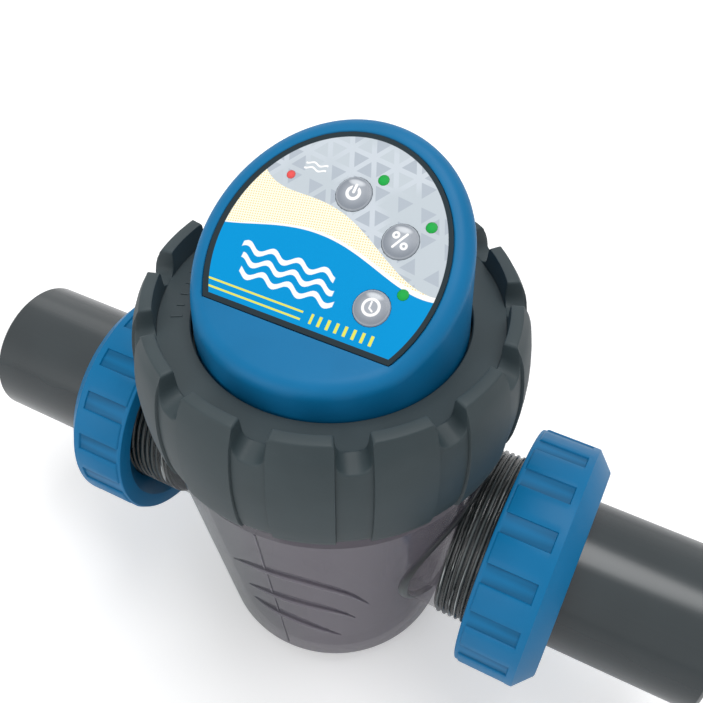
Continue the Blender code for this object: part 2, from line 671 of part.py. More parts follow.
def make_cap(materials):
    skirt = MOUTH_RADIUS - SLIP_GAP
    groove = MOUTH_RADIUS - CAP_SEAL_SECTION - 3 * SEAT_GAP
    seal_z = cap_seal_middle()
    half = CAP_SEAL_SECTION / 2 + SEAT_GAP
    flange = RING_BORE - SLIP_GAP * 2
    head_groove = SPIGOT_RING_RADIUS - HEAD_SEAL_SECTION - SEAT_GAP + SLIP_GAP
    head_seal_z = CAP_TOP + SPIGOT_RING_HEIGHT / 2
    head_half = HEAD_SEAL_SECTION / 2 + SEAT_GAP / 2
    inner = SPIGOT_RING_RADIUS - SPIGOT_RING_WIDTH
    skirt_bottom = CAP_BOTTOM - CAP_SKIRT
    skirt_inner = skirt - CAP_SKIRT_WALL
    profile = [(0.0, CAP_BOTTOM), (skirt_inner, CAP_BOTTOM), (skirt_inner, skirt_bottom)]
    profile += [(skirt, skirt_bottom), (skirt, seal_z - half), (groove, seal_z - half)]
    profile += [(groove, seal_z + half), (skirt, seal_z + half), (skirt, CAP_BOTTOM)]
    profile += [(flange, CAP_BOTTOM), (flange, CAP_TOP), (SPIGOT_RING_RADIUS, CAP_TOP)]
    profile += [(SPIGOT_RING_RADIUS, head_seal_z - head_half), (head_groove, head_seal_z - head_half)]
    profile += [(head_groove, head_seal_z + head_half), (SPIGOT_RING_RADIUS, head_seal_z + head_half)]
    profile += [(SPIGOT_RING_RADIUS, SPIGOT_RING_TOP), (inner, SPIGOT_RING_TOP)]
    profile += [(inner, CAP_TOP), (0.0, CAP_TOP)]
    dark = materials["dark_plastic"]
    cap = make_object("cell_cap", revolve(profile), dark)
    low = CAP_BOTTOM - CUT_PAST
    high = SPIGOT_RING_TOP + CUT_PAST
    holes = [rod(HEAD_SCREW_RADIUS + SCREW_GAP, low, high, centre=spot) for spot in screw_places()]
    for side in (1, -1):
        holes.append(rod(POST_RADIUS + SCREW_GAP, low, high, centre=(side * POST_PLACE, 0.0)))
    holes.append(rod(POST_RADIUS + SCREW_GAP, low, high, centre=(0.0, SENSOR_PLACE)))
    combine(cap, [cutter("holes", merge(holes), dark)], "DIFFERENCE")
    seal_radius = MOUTH_RADIUS - SEAT_GAP - CAP_SEAL_SECTION / 2
    make_object("cap_seal", torus(seal_radius, CAP_SEAL_SECTION, seal_z), materials["seal_rubber"])
    head_seal_radius = head_groove + SEAT_GAP / 2 + HEAD_SEAL_SECTION / 2
    head_seal = torus(head_seal_radius, HEAD_SEAL_SECTION, head_seal_z)
    make_object("head_seal", head_seal, materials["seal_rubber"])


def screw_form(spot, radius, head_low, length, head_height):
    """A screw that points up, with its head below."""
    head_radius = radius * 1.8
    under = head_low + head_height
    profile = [(0.0, head_low), (head_radius, head_low), (head_radius, under), (radius, under)]
    profile += [(radius, under + length), (0.0, under + length)]
    return place(revolve(profile, SMALL_STEPS), Matrix.Translation((spot[0], spot[1], 0.0)))


def make_head_screws(materials):
    head_low = CAP_BOTTOM - SEAT_GAP - HEAD_SCREW_CAP
    for number, spot in enumerate(screw_places(), 1):
        screw = screw_form(spot, HEAD_SCREW_RADIUS, head_low, HEAD_SCREW_LENGTH, HEAD_SCREW_CAP)
        make_object("head_screw_%d" % number, screw, materials["steel"])


# Head shell

def roof_height(y):
    """Height of the head's top above the foot, over a point y in front of or behind the axis."""
    slope = SLOPE_RISE + y * math.tan(SLOPE)
    chord = SLOPE_RISE + CHIN_START * math.tan(SLOPE)
    chin = chord + (y - CHIN_START) * math.tan(CHIN_SLOPE)
    return HEAD_FOOT + max(slope, chin)


def head_solid(inset, roof_drop, bottom, steps):
    """The head as a solid of the given inset, with a sloping top and a flatter chin."""
    round_radius = max(HEAD_ROUND - inset, 0.0015)
    foot_radius = HEAD_RADIUS - inset
    form = bmesh.new()
    arc = 3
    rings = [[] for _ in range(arc + 2)]
    for step in range(steps):
        angle = 2.0 * math.pi * step / steps
        direction = Vector((math.cos(angle), math.sin(angle), 0.0))
        side = foot_radius
        for _ in range(6):
            edge_height = roof_height(side * direction.y) - roof_drop - round_radius
            side = foot_radius - HEAD_DRAFT * (edge_height - HEAD_FOOT)
        rings[0].append(form.verts.new(direction * foot_radius + Vector((0.0, 0.0, bottom))))
        for turn in range(arc + 1):
            bend = math.pi / 2 * turn / arc
            reach = side - round_radius * (1.0 - math.cos(bend))
            drop = round_radius * (1.0 - math.sin(bend))
            rings[turn + 1].append(form.verts.new(direction * reach + Vector((0.0, 0.0, 1.0 - drop))))
    for near, far in zip(rings, rings[1:]):
        for step in range(steps):
            other = (step + 1) % steps
            form.faces.new((near[step], near[other], far[other], far[step]))
    form.faces.new(rings[0])
    form.faces.new(rings[-1])
    everything = form.verts[:] + form.edges[:] + form.faces[:]
    fold = {"plane_co": (0.0, CHIN_START, 0.0), "plane_no": (0.0, 1.0, 0.0)}
    bmesh.ops.bisect_plane(form, geom=everything, dist=MERGE_DISTANCE, **fold)
    for vert in form.verts:
        if vert.co.z > 0.5:
            vert.co.z += roof_height(vert.co.y) - roof_drop - 1.0
    return form


def ellipse_outline(inset, steps):
    """Outline of the panel in its own plane, cut off by a chord at the bottom."""
    across = PANEL_RADIUS - inset
    along = PANEL_RADIUS / math.cos(SLOPE) - inset
    chord = PANEL_CHORD - inset
    start = math.asin(-chord / along)
    points = []
    for step in range(steps + 1):
        angle = start + (math.pi - 2 * start) * step / steps
        points.append((across * math.cos(angle), along * math.sin(angle)))
    return points


def make_shell(materials):
    blue = materials["blue_plastic"]
    shell = make_object("head_shell", head_solid(0.0, 0.0, HEAD_FOOT, HEAD_STEPS), blue)
    inner = head_solid(HEAD_WALL, HEAD_ROOF / math.cos(SLOPE), HEAD_FOOT - HEAD_WALL, HEAD_STEPS)
    boss = rod(GLAND_BOSS_RADIUS, -GLAND_BOSS_FACE, -GLAND_BOSS_FACE * 0.85, BUTTON_STEPS)
    gland_face = place(boss, gland_frame())
    combine(shell, [cutter("gland_boss", gland_face, blue)], "UNION")
    combine(shell, [cutter("cavity", inner, blue)], "DIFFERENCE")
    bosses = []
    for spot in BOARD_BOSSES:
        boss = rod(BOSS_RADIUS, -BOARD_DEPTH + SEAT_GAP, -RECESS_DEPTH - JOIN_DEPTH, centre=spot)
        bosses.append(place(boss, PANEL_FRAME))
    for spot in screw_places():
        rear = HEAD_BOSS_RADIUS * math.tan(SLOPE) if spot[1] > 0 else 0.0
        top = roof_height(spot[1]) - HEAD_ROOF - rear
        bosses.append(rod(HEAD_BOSS_RADIUS, SPIGOT_RING_TOP + SEAT_GAP, top, centre=spot))
    combine(shell, [cutter("bosses", merge(bosses), blue)], "UNION")
    recess = extrude_outline(ellipse_outline(-SEAT_GAP, PANEL_STEPS), -RECESS_DEPTH, HEAD_ROUND)
    holes = []
    for spot in BUTTON_PLACES.values():
        holes.append(rod(BUTTON_RADIUS + BUTTON_FLANGE + SEAT_GAP, -BOARD_DEPTH, 0.0, BUTTON_STEPS, spot))
    for spot, radius in LENS_PLACES.values():
        holes.append(rod(radius + SEAT_GAP, -BOARD_DEPTH, 0.0, centre=spot))
    tip = -BOARD_DEPTH - BOARD_THICKNESS - SEAT_GAP + BOARD_SCREW_LENGTH + HOLE_END_GAP
    for spot in BOARD_BOSSES:
        holes.append(rod(BOARD_SCREW_RADIUS + SCREW_GAP, -BOARD_DEPTH - CUT_PAST, tip, centre=spot))
    holes = [place(hole, PANEL_FRAME) for hole in holes]
    tip = CAP_BOTTOM - SEAT_GAP + HEAD_SCREW_LENGTH + HOLE_END_GAP
    for spot in screw_places():
        holes.append(rod(HEAD_SCREW_RADIUS + SCREW_GAP, HEAD_FOOT, tip, centre=spot))
    outside = GLAND_BOSS_FACE + CUT_PAST
    stem_hole = rod(GLAND_STEM_RADIUS + SLIP_GAP, -outside, -GLAND_BOSS_FACE * 0.8, BUTTON_STEPS)
    holes.append(place(stem_hole, gland_frame()))
    combine(shell, [cutter("recess", place(recess, PANEL_FRAME), blue)], "DIFFERENCE")
    combine(shell, [cutter("holes", merge(holes), blue)], "DIFFERENCE")
    return shell


# Keypad, buttons, lenses and board, all in the frame of the sloping panel

def make_keypad(materials, frame):
    film = materials["keypad_film"]
    outline = ellipse_outline(0.0, PANEL_STEPS)
    panel = make_object("keypad_panel", extrude_outline(outline, -PANEL_THICKNESS, 0.0), film)
    low = -PANEL_THICKNESS - CUT_PAST
    holes = []
    for spot in BUTTON_PLACES.values():
        holes.append(rod(BUTTON_RADIUS + SEAT_GAP, low, CUT_PAST, BUTTON_STEPS, spot))
    for spot, radius in LENS_PLACES.values():
        holes.append(rod(radius + SEAT_GAP, low, CUT_PAST, LENS_STEPS, spot))
    combine(panel, [cutter("holes", merge(holes), film)], "DIFFERENCE")
    panel.parent = frame
    for name, spot in BUTTON_PLACES.items():
        make_object(name, button_form(spot), materials["key_rubber"], (*spot, 0.0), frame)
    for name, (spot, radius) in LENS_PLACES.items():
        tint = materials["red_lens" if name == "red_lens" else "green_lens"]
        make_object(name, lens_form(spot, radius), tint, (*spot, 0.0), frame)


def button_form(spot):
    flange_top = -PANEL_THICKNESS - SEAT_GAP
    flange_low = flange_top - BUTTON_FLANGE_HEIGHT
    stem_low = -BOARD_DEPTH + SEAT_GAP + SWITCH_HEIGHT + SEAT_GAP + BUTTON_TRAVEL
    profile = [(0.0, stem_low), (BUTTON_RADIUS * 0.45, stem_low), (BUTTON_RADIUS * 0.45, flange_low)]
    profile += [(BUTTON_RADIUS + BUTTON_FLANGE, flange_low), (BUTTON_RADIUS + BUTTON_FLANGE, flange_top)]
    profile += [(BUTTON_RADIUS, flange_top), (BUTTON_RADIUS, BUTTON_RISE * 0.35)]
    profile += [(BUTTON_RADIUS * 0.86, BUTTON_RISE * 0.75), (BUTTON_RADIUS * 0.5, BUTTON_RISE * 0.97)]
    profile += [(0.0, BUTTON_RISE)]
    return place(revolve_with_tip(profile, BUTTON_STEPS), Matrix.Translation((*spot, 0.0)))


def revolve_with_tip(profile, steps):
    """Turns an outline that ends in a point on the axis, with a fan of faces to that point."""
    form = revolve(profile[:-1] + [(0.0, profile[-2][1])], steps)
    top = max(form.faces, key=lambda face: face.calc_center_median().z)
    fan = bmesh.ops.poke(form, faces=[top])
    fan["verts"][0].co.z = profile[-1][1]
    return form


def lens_form(spot, radius):
    roof = -HEAD_ROOF - SEAT_GAP
    low = -BOARD_DEPTH + SEAT_GAP
    profile = [(0.0, low), (radius + LENS_COLLAR, low), (radius + LENS_COLLAR, roof), (radius, roof)]
    profile += [(radius, 0.0), (radius * 0.6, LENS_RISE * 0.8), (0.0, LENS_RISE)]
    return place(revolve_with_tip(profile, LENS_STEPS), Matrix.Translation((*spot, 0.0)))


def make_board(materials, frame):
    low = -BOARD_DEPTH - BOARD_THICKNESS
    outline = ellipse_outline(BOARD_INSET, BOARD_STEPS)
    board = make_object("circuit_board", extrude_outline(outline, low, -BOARD_DEPTH), materials["board"])
    radius = BOARD_SCREW_RADIUS + SCREW_GAP
    holes = [rod(radius, low - CUT_PAST, CUT_PAST - BOARD_DEPTH, centre=spot) for spot in BOARD_BOSSES]
    combine(board, [cutter("holes", merge(holes), materials["board"])], "DIFFERENCE")
    board.parent = frame
    for name, (x, u) in BUTTON_PLACES.items():
        base = -BOARD_DEPTH + SEAT_GAP
        half = SWITCH_SIZE / 2
        switch = box((x - half, u - half, base), (x + half, u + half, base + SWITCH_HEIGHT))
        make_object(name.replace("button", "switch"), switch, materials["black_plastic"], parent=frame)
    head_low = low - SEAT_GAP - BOARD_SCREW_CAP
    for number, spot in enumerate(BOARD_BOSSES, 1):
        screw = screw_form(spot, BOARD_SCREW_RADIUS, head_low, BOARD_SCREW_LENGTH, BOARD_SCREW_CAP)
        make_object("board_screw_%d" % number, screw, materials["steel"], parent=frame)


# Power module, terminal posts and leads in the head

def make_power(materials):
    length, width, height = MODULE_SIZE
    base = CAP_TOP + SEAT_GAP
    low = (-length / 2, MODULE_PLACE - width / 2, base)
    high = (length / 2, MODULE_PLACE + width / 2, base + height)
    module = box(low, high)
    bmesh.ops.bevel(module, geom=module.edges[:], offset=MODULE_EDGE, segments=1, affect="EDGES")
    make_object("power_module", module, materials["black_plastic"])
    post_top = CAP_TOP + POST_RISE
    for name, side in (("left_post", -1), ("right_post", 1)):
        spot = (side * POST_PLACE, 0.0)
        post = rod(POST_RADIUS, PLATE_TOP + 2 * SEAT_GAP, post_top, centre=spot)
        make_object(name, post, materials["titanium"])
        nut = hex_nut(POST_NUT_RADIUS, POST_RADIUS + SCREW_GAP, base, base + POST_NUT_HEIGHT)
        make_object(name + "_nut", place(nut, Matrix.Translation((*spot, 0.0))), materials["steel"])
        lead_start = Vector((side * POST_PLACE, 0.0, post_top + SEAT_GAP))
        lead_end = Vector((side * (length / 2 + SEAT_GAP), MODULE_PLACE, base + height * 0.6))
        colour = materials["lead_sleeve"] if side > 0 else materials["black_plastic"]
        make_lead("right_lead" if side > 0 else "left_lead", lead_start, lead_end, side, colour)


def make_lead(name, start, end, side, material):
    """A short lead that rises from a post and turns into the side of the module."""
    knots = [start, start + Vector((0.0, 0.0, 0.0030)), start + Vector((side * 0.0015, 0.0040, 0.0060))]
    knots += [end + Vector((side * 0.0060, -0.0080, 0.0015)), end + Vector((side * 0.0035, 0.0, 0.0)), end]
    curve = bpy.data.curves.new(name, "CURVE")
    curve.dimensions = "3D"
    curve.bevel_depth = LEAD_RADIUS
    curve.bevel_resolution = 1
    curve.use_fill_caps = True
    points = smooth_route(knots, 3)
    spline = curve.splines.new("POLY")
    spline.points.add(len(points) - 1)
    for item, point in zip(spline.points, points):
        item.co = (*point, 1.0)
    curve.materials.append(material)
    lead = bpy.data.objects.new(name, curve)
    bpy.context.scene.collection.objects.link(lead)


def smooth_route(knots, steps):
    """Points on a smooth curve through the knots."""
    padded = [2 * knots[0] - knots[1]] + knots + [2 * knots[-1] - knots[-2]]
    points = []
    for a, b, c, d in zip(padded, padded[1:], padded[2:], padded[3:]):
        for step in range(steps):
            t = step / steps
            points.append(0.5 * (2 * b + (c - a) * t + (2 * a - 5 * b + 4 * c - d) * t * t
                                 + (3 * b - a - 3 * c + d) * t * t * t))
    points.append(knots[-1])
    return points


# Cable gland

def gland_frame():
    """Local -Z runs out of the back of the head, along +Y."""
    return Matrix.Translation((0.0, 0.0, HEAD_FOOT + GLAND_RISE)) @ Matrix.Rotation(math.pi / 2, 4, "X")


def lock_nut_face():
    """How far back the inside lock nut can sit against the curved wall."""
    wall = HEAD_RADIUS - HEAD_WALL - HEAD_DRAFT * (GLAND_RISE + GLAND_HEX)
    return math.sqrt(wall * wall - GLAND_HEX * GLAND_HEX) - SEAT_GAP


def make_gland(materials):
    black = materials["black_plastic"]
    flange = GLAND_BOSS_FACE + SEAT_GAP
    barrel = flange + GLAND_FLANGE
    end = barrel + GLAND_BARREL
    nut_face = lock_nut_face()
    stem_end = nut_face - GLAND_STEM_PAST
    stem = tube(GLAND_STEM_RADIUS, GLAND_BORE, -flange - JOIN_DEPTH, -stem_end, GLAND_STEPS)
    hexagon = hex_nut(GLAND_HEX, GLAND_BORE, -barrel, -flange)
    outer = tube(GLAND_BARREL_RADIUS, GLAND_BORE, -end, -barrel + JOIN_DEPTH, GLAND_STEPS)
    gland = make_object("cable_gland", place(stem, gland_frame()), black)
    combine(gland, [cutter("flange", place(hexagon, gland_frame()), black)], "UNION")
    combine(gland, [cutter("barrel", place(outer, gland_frame()), black)], "UNION")
    bore = place(rod(GLAND_BORE, -end - CUT_PAST, -stem_end + CUT_PAST, GLAND_STEPS), gland_frame())
    combine(gland, [cutter("bore", bore, black)], "DIFFERENCE")
    lock_nut = hex_nut(GLAND_HEX, GLAND_STEM_RADIUS + SCREW_GAP, -nut_face, -nut_face + GLAND_NUT_INSIDE)
    make_object("gland_lock_nut", place(lock_nut, gland_frame()), black)
    near = barrel + SEAT_GAP
    far = near + GLAND_NUT_LENGTH
    throat = end + GLAND_THROAT
    thread = GLAND_BARREL_RADIUS + SCREW_GAP
    profile = [(thread, -near), (GLAND_HEX, -near), (GLAND_HEX, -far + GLAND_NUT_NOSE)]
    profile += [(GLAND_HEX * 0.66, -far), (CABLE_BORE, -far), (CABLE_BORE, -throat), (thread, -throat)]
    make_object("gland_nut", place(revolve(profile, LENS_STEPS), gland_frame()), black)
    seal = tube(GLAND_BORE - SEAT_GAP, CABLE_BORE, -throat + SEAT_GAP, -flange, GLAND_STEPS)
    make_object("gland_seal", place(seal, gland_frame()), materials["seal_rubber"])


# Electrode pack below the cap

def comb_outline(low, high, slot_low, slot_high):
    """Cross-section of a block whose slots hold the plates."""
    half = (PLATES - 1) / 2 * PLATE_PITCH + PLATE_THICKNESS / 2 + HOLDER_EDGE
    slot = PLATE_THICKNESS / 2 + SEAT_GAP
    open_down = slot_low <= low
    points = [(-half, high), (-half, low)] if open_down else [(half, low), (half, high)]
    plates = range(PLATES) if open_down else range(PLATES - 1, -1, -1)
    for plate in plates:
        middle = (plate - (PLATES - 1) / 2) * PLATE_PITCH
        if open_down:
            points += [(middle - slot, low), (middle - slot, slot_high)]
            points += [(middle + slot, slot_high), (middle + slot, low)]
        else:
            points += [(middle + slot, high), (middle + slot, slot_low)]
            points += [(middle - slot, slot_low), (middle - slot, high)]
    points += [(half, low), (half, high)] if open_down else [(-half, high), (-half, low)]
    return points


def make_electrodes(materials):
    black = materials["black_plastic"]
    holder_low = PLATE_TOP - HOLDER_GRIP
    outline = comb_outline(holder_low, HOLDER_TOP, holder_low, PLATE_TOP + SEAT_GAP)
    block = extrude_outline(outline, -HOLDER_LENGTH / 2, HOLDER_LENGTH / 2, "X")
    holder = make_object("plate_holder", block, black)
    holes = []
    for side in (-1, 1):
        spot = (side * POST_PLACE, 0.0)
        holes.append(rod(POST_RADIUS + SCREW_GAP, PLATE_TOP - CUT_PAST, HOLDER_TOP + CUT_PAST, centre=spot))
    combine(holder, [cutter("holes", merge(holes), black)], "DIFFERENCE")
    for plate in range(PLATES):
        middle = (plate - (PLATES - 1) / 2) * PLATE_PITCH
        low = (-PLATE_LENGTH / 2, middle - PLATE_THICKNESS / 2, PLATE_BOTTOM)
        high = (PLATE_LENGTH / 2, middle + PLATE_THICKNESS / 2, PLATE_TOP)
        make_object("electrode_plate_%d" % (plate + 1), box(low, high), materials["titanium"])
    comb_low = PLATE_BOTTOM - SEAT_GAP - COMB_FLOOR
    comb_top = PLATE_BOTTOM + COMB_GRIP
    outline = comb_outline(comb_low, comb_top, PLATE_BOTTOM - SEAT_GAP, comb_top)
    make_object("plate_comb", extrude_outline(outline, -COMB_LENGTH / 2, COMB_LENGTH / 2, "X"), black)


def make_sensor(materials):
    flange_top = CAP_BOTTOM - SEAT_GAP
    flange_low = flange_top - SENSOR_FLANGE_HEIGHT
    tip = flange_low - SENSOR_LENGTH
    profile = [(0.0, tip), (SENSOR_RADIUS * 0.6, tip), (SENSOR_RADIUS, tip + SENSOR_TIP)]
    profile += [(SENSOR_RADIUS, flange_low), (SENSOR_FLANGE_RADIUS, flange_low)]
    profile += [(SENSOR_FLANGE_RADIUS, flange_top), (POST_RADIUS, flange_top)]
    profile += [(POST_RADIUS, CAP_TOP + SENSOR_STUB), (0.0, CAP_TOP + SENSOR_STUB)]
    form = place(revolve(profile, SMALL_STEPS), Matrix.Translation((0.0, SENSOR_PLACE, 0.0)))
    make_object("water_sensor", form, materials["steel"])


def main():
    clear_scene()
    materials = make_materials()
    make_housing(materials)
    make_union("left", -1, materials)
    make_union("right", 1, materials)
    make_ring(materials)
    make_cap(materials)
    make_head_screws(materials)
    make_shell(materials)
    frame = bpy.data.objects.new("panel_frame", None)
    frame.matrix_world = PANEL_FRAME
    bpy.context.scene.collection.objects.link(frame)
    make_keypad(materials, frame)
    make_board(materials, frame)
    make_power(materials)
    make_gland(materials)
    make_electrodes(materials)
    make_sensor(materials)


main()
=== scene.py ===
import math

import bmesh
import bpy
from mathutils import Matrix, Vector


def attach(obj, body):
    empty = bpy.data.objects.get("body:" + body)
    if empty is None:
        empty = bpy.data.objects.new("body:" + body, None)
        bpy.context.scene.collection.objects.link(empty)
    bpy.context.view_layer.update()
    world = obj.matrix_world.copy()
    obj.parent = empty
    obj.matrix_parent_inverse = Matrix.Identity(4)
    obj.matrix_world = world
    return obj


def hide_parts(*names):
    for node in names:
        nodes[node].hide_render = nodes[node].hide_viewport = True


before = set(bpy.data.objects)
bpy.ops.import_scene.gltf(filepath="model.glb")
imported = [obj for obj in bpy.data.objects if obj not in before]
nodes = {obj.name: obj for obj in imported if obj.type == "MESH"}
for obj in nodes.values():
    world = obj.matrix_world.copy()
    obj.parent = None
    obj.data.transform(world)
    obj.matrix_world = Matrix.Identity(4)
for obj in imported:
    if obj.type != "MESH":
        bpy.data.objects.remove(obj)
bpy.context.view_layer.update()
print("frame loaded:", len(nodes), "solids")

# everything is in metres; the pipes run along X, the control panel faces -Y and up
pipeHeight = 0.088                 # pipe axis above the foot
panelSlope = math.radians(28.65)
panelY = -0.00441                  # middle of the panel
panelZ = pipeHeight + 0.13357 + panelY * math.tan(panelSlope)
panelPlace = Matrix.Translation((0, panelY, panelZ)) @ Matrix.Rotation(panelSlope, 4, "X")


# shader tools

def rgb(red, green, blue):
    # a colour as it is seen, each part from 0 to 255
    parts = [part / 255 for part in (red, green, blue)]
    return tuple(p / 12.92 if p <= 0.04045 else ((p + 0.055) / 1.055) ** 2.4 for p in parts) + (1.0,)


class Wire:
    # a shader socket that can be used in an expression

    def __init__(self, finish, socket):
        self.finish = finish
        self.socket = socket

    def math(self, operation, *others):
        inputs = dict(enumerate((self, *others)))
        return self.finish.node("Math", {"operation": operation}, inputs)

    def __add__(self, other):
        return self.math("ADD", other)

    def __radd__(self, other):
        return self.math("ADD", other)

    def __sub__(self, other):
        return self.math("SUBTRACT", other)

    def __rsub__(self, other):
        return self.finish.node("Math", {"operation": "SUBTRACT"}, {0: other, 1: self})

    def __mul__(self, other):
        return self.math("MULTIPLY", other)

    def __rmul__(self, other):
        return self.math("MULTIPLY", other)

    def __truediv__(self, other):
        return self.math("DIVIDE", other)

    def __rtruediv__(self, other):
        return self.finish.node("Math", {"operation": "DIVIDE"}, {0: other, 1: self})

    def __pow__(self, other):
        return self.math("POWER", other)

    def __mod__(self, other):
        return self.math("FLOORED_MODULO", other)

    def __lt__(self, other):
        return self.math("LESS_THAN", other)

    def __gt__(self, other):
        return self.math("GREATER_THAN", other)

    def __abs__(self):
        return self.math("ABSOLUTE")

    def smaller(self, other):
        return self.math("MINIMUM", other)

    def larger(self, other):
        return self.math("MAXIMUM", other)

    def step(self, low, high):
        # 0 below low, 1 above high, smooth between; turned round when high is the lower one
        settings = {"interpolation_type": "SMOOTHSTEP"}
        return self.finish.node("MapRange", settings, {"Value": self, "From Min": low, "From Max": high})


class Finish:
    # one material and its nodes

    def __init__(self, name, **values):
        self.material = bpy.data.materials.new(name)
        self.material.use_nodes = True
        self.tree = self.material.node_tree
        self.shader = self.tree.nodes["Principled BSDF"]
        self.set(**values)

    def set(self, **values):
        # roughness=0.4 sets Roughness, base_color=... sets Base Color
        for key, value in values.items():
            words = [word if word == "IOR" else word.capitalize() for word in key.split("_")]
            self.feed(self.shader.inputs[" ".join(words)], value)

    def feed(self, socket, value):
        if isinstance(value, Wire):
            self.tree.links.new(value.socket, socket)
        else:
            socket.default_value = value

    def node(self, kind, settings=None, inputs=None, output=0):
        made = self.tree.nodes.new("ShaderNode" + kind)
        for key, value in (settings or {}).items():
            setattr(made, key, value)
        for key, value in (inputs or {}).items():
            self.feed(made.inputs[key], value)
        return Wire(self, made.outputs[output])

    def mix(self, factor, first, second):
        # first where factor is 0, second where it is 1
        return self.node("Mix", {"data_type": "RGBA"}, {0: factor, 6: first, 7: second}, 2)

    def place(self):
        return self.node("TexCoord", output=3)

    def parts(self, vector):
        split = self.node("SeparateXYZ", inputs={0: vector}).socket.node
        return [Wire(self, output) for output in split.outputs]

    def noise(self, scale, detail=2.0, stretch=None):
        vector = self.place()
        if stretch:
            vector = self.node("VectorMath", {"operation": "MULTIPLY"}, {0: vector, 1: stretch})
        return self.node("TexNoise", None, {"Vector": vector, "Scale": scale, "Detail": detail})

    def bump(self, height, distance, strength=1.0, normal=None):
        inputs = {"Height": height, "Distance": distance, "Strength": strength}
        if normal:
            inputs["Normal"] = normal
        return self.node("Bump", None, inputs)

    def edges(self, low, high):
        # 1 on worn outer edges, 0 on flats and in corners; the other way round when high is the lower one, which picks
        # out corners for painted shade
        return self.node("NewGeometry", output=7).step(low, high)


# shape tools

def meshOf(name, points, faces, sharp=35):
    mesh = bpy.data.meshes.new(name)
    mesh.from_pydata(points, [], faces)
    form = bmesh.new()
    form.from_mesh(mesh)
    bmesh.ops.remove_doubles(form, verts=form.verts, dist=0.000001)
    bmesh.ops.recalc_face_normals(form, faces=form.faces)
    form.to_mesh(mesh)
    form.free()
    mesh.shade_smooth()
    mesh.set_sharp_from_angle(angle=math.radians(sharp))
    return mesh


def aroundFaces(columns, rows, start=0, closed=True):
    # faces between columns that go once round; closed profiles come back to their first row
    faces = []
    for column in range(columns):
        near = start + column * rows
        far = start + (column + 1) % columns * rows
        for row in range(rows if closed else rows - 1):
            other = (row + 1) % rows
            faces.append((near + row, near + other, far + other, far + row))
    return faces


def turned(profile, steps, place=None, closed=True):
    # points and faces of an outline of (radius, height) turned round Z
    points = []
    for step in range(steps):
        angle = 2 * math.pi * step / steps
        points += [(r * math.cos(angle), r * math.sin(angle), z) for r, z in profile]
    faces = aroundFaces(steps, len(profile), closed=closed)
    if not closed:   # flat ends
        faces.append([step * len(profile) for step in range(steps)])
        faces.append([step * len(profile) + len(profile) - 1 for step in range(steps)])
    if place:
        points = [tuple(place @ Vector(point)) for point in points]
    return points, faces


def alongX(side):
    return Matrix.Translation((0, 0, pipeHeight)) @ Matrix.Rotation(side * math.pi / 2, 4, "Y")


def together(*shapes):
    # several (points, faces) as one
    points, faces = [], []
    for morePoints, moreFaces in shapes:
        shift = len(points)
        points += morePoints
        faces += [[index + shift for index in face] for face in moreFaces]
    return points, faces


def roundedCorner(before, corner, after, radius, steps=4):
    # points of an arc that replaces a corner of an outline
    a, b, c = Vector(before), Vector(corner), Vector(after)
    inward, outward = (a - b).normalized(), (c - b).normalized()
    half = inward.angle(outward) / 2
    reach = min(radius / math.tan(half), 0.48 * (a - b).length, 0.48 * (c - b).length)
    middle = b + (inward + outward).normalized() * (reach / math.cos(half))
    start, end = b + inward * reach - middle, b + outward * reach - middle
    points = []
    for step in range(steps + 1):
        blend = start.lerp(end, step / steps)
        points.append(tuple(middle + blend.normalized() * start.length))
    return points


def softOutline(corners, closed=True):
    # an outline of (x, y, radius); corners with a radius are rounded
    points = []
    count = len(corners)
    for index, (x, y, radius) in enumerate(corners):
        isEnd = not closed and index in (0, count - 1)
        if radius == 0 or isEnd:
            points.append((x, y))
        else:
            before, after = corners[index - 1][:2], corners[(index + 1) % count][:2]
            points += roundedCorner(before, (x, y), after, radius)
    return points


def cut(target, tools, operation):
    for tool in tools:
        change = target.modifiers.new("cut", "BOOLEAN")
        change.operation, change.solver, change.object = operation, "EXACT", tool
        graph = bpy.context.evaluated_depsgraph_get()
        result = bpy.data.meshes.new_from_object(target.evaluated_get(graph), depsgraph=graph)
        target.modifiers.clear()
        target.data = result
        bpy.data.objects.remove(tool, do_unlink=True)
    target.data.shade_smooth()
    target.data.set_sharp_from_angle(angle=math.radians(35))


def loose(name, shape):
    piece = bpy.data.objects.new(name, meshOf(name, *shape))
    bpy.context.scene.collection.objects.link(piece)
    return piece


def addPiece(piece, finish, body, replaced=()):
    piece.data.materials.clear()
    piece.data.materials.append(finish.material)
    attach(piece, body)
    if replaced:
        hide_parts(*replaced)
    return piece


# finishes

mouldLook = {"blue": rgb(16, 117, 170), "blueDeep": rgb(8, 108, 158), "grain": 0.000014, "roughness": 0.36,
             "shine": 0.18}
ringLook = {"colour": rgb(48, 60, 64), "pale": rgb(60, 72, 76), "grain": 0.00003, "roughness": 0.48,
            "shine": 0.35}
pipeLook = {"colour": rgb(29, 39, 43), "pale": rgb(39, 49, 53), "roughness": 0.18}
clearLook = {"smoke": rgb(82, 88, 93), "tint": rgb(114, 109, 119), "alpha": 0.64, "neckAlpha": 0.36, "roughness": 0.12}


def moulded(name, colour, pale, grain, roughness, shine=0.35):
    # injection moulded plastic: soft mottling, fine grain, a rubbed edge and painted shade in its creases
    finish = Finish(name, specular_IOR_level=shine)
    cloud = finish.noise(38.0, 3.0)
    fine = finish.noise(2600.0, 2.0)
    rub = finish.edges(0.53, 0.60)
    shade = finish.mix(cloud.step(0.3, 0.7) * 0.5 + rub * 0.4, colour, pale)
    # painted shade: concave corners and creases are darkened towards near black
    shade = finish.mix(finish.edges(0.485, 0.43) * 0.55, shade, rgb(8, 12, 16))
    finish.set(base_color=shade, roughness=roughness + cloud * 0.10 - rub * 0.05)
    finish.set(normal=finish.bump(fine, grain, 0.6, finish.bump(finish.noise(420.0), grain * 2.5, 0.35)))
    return finish


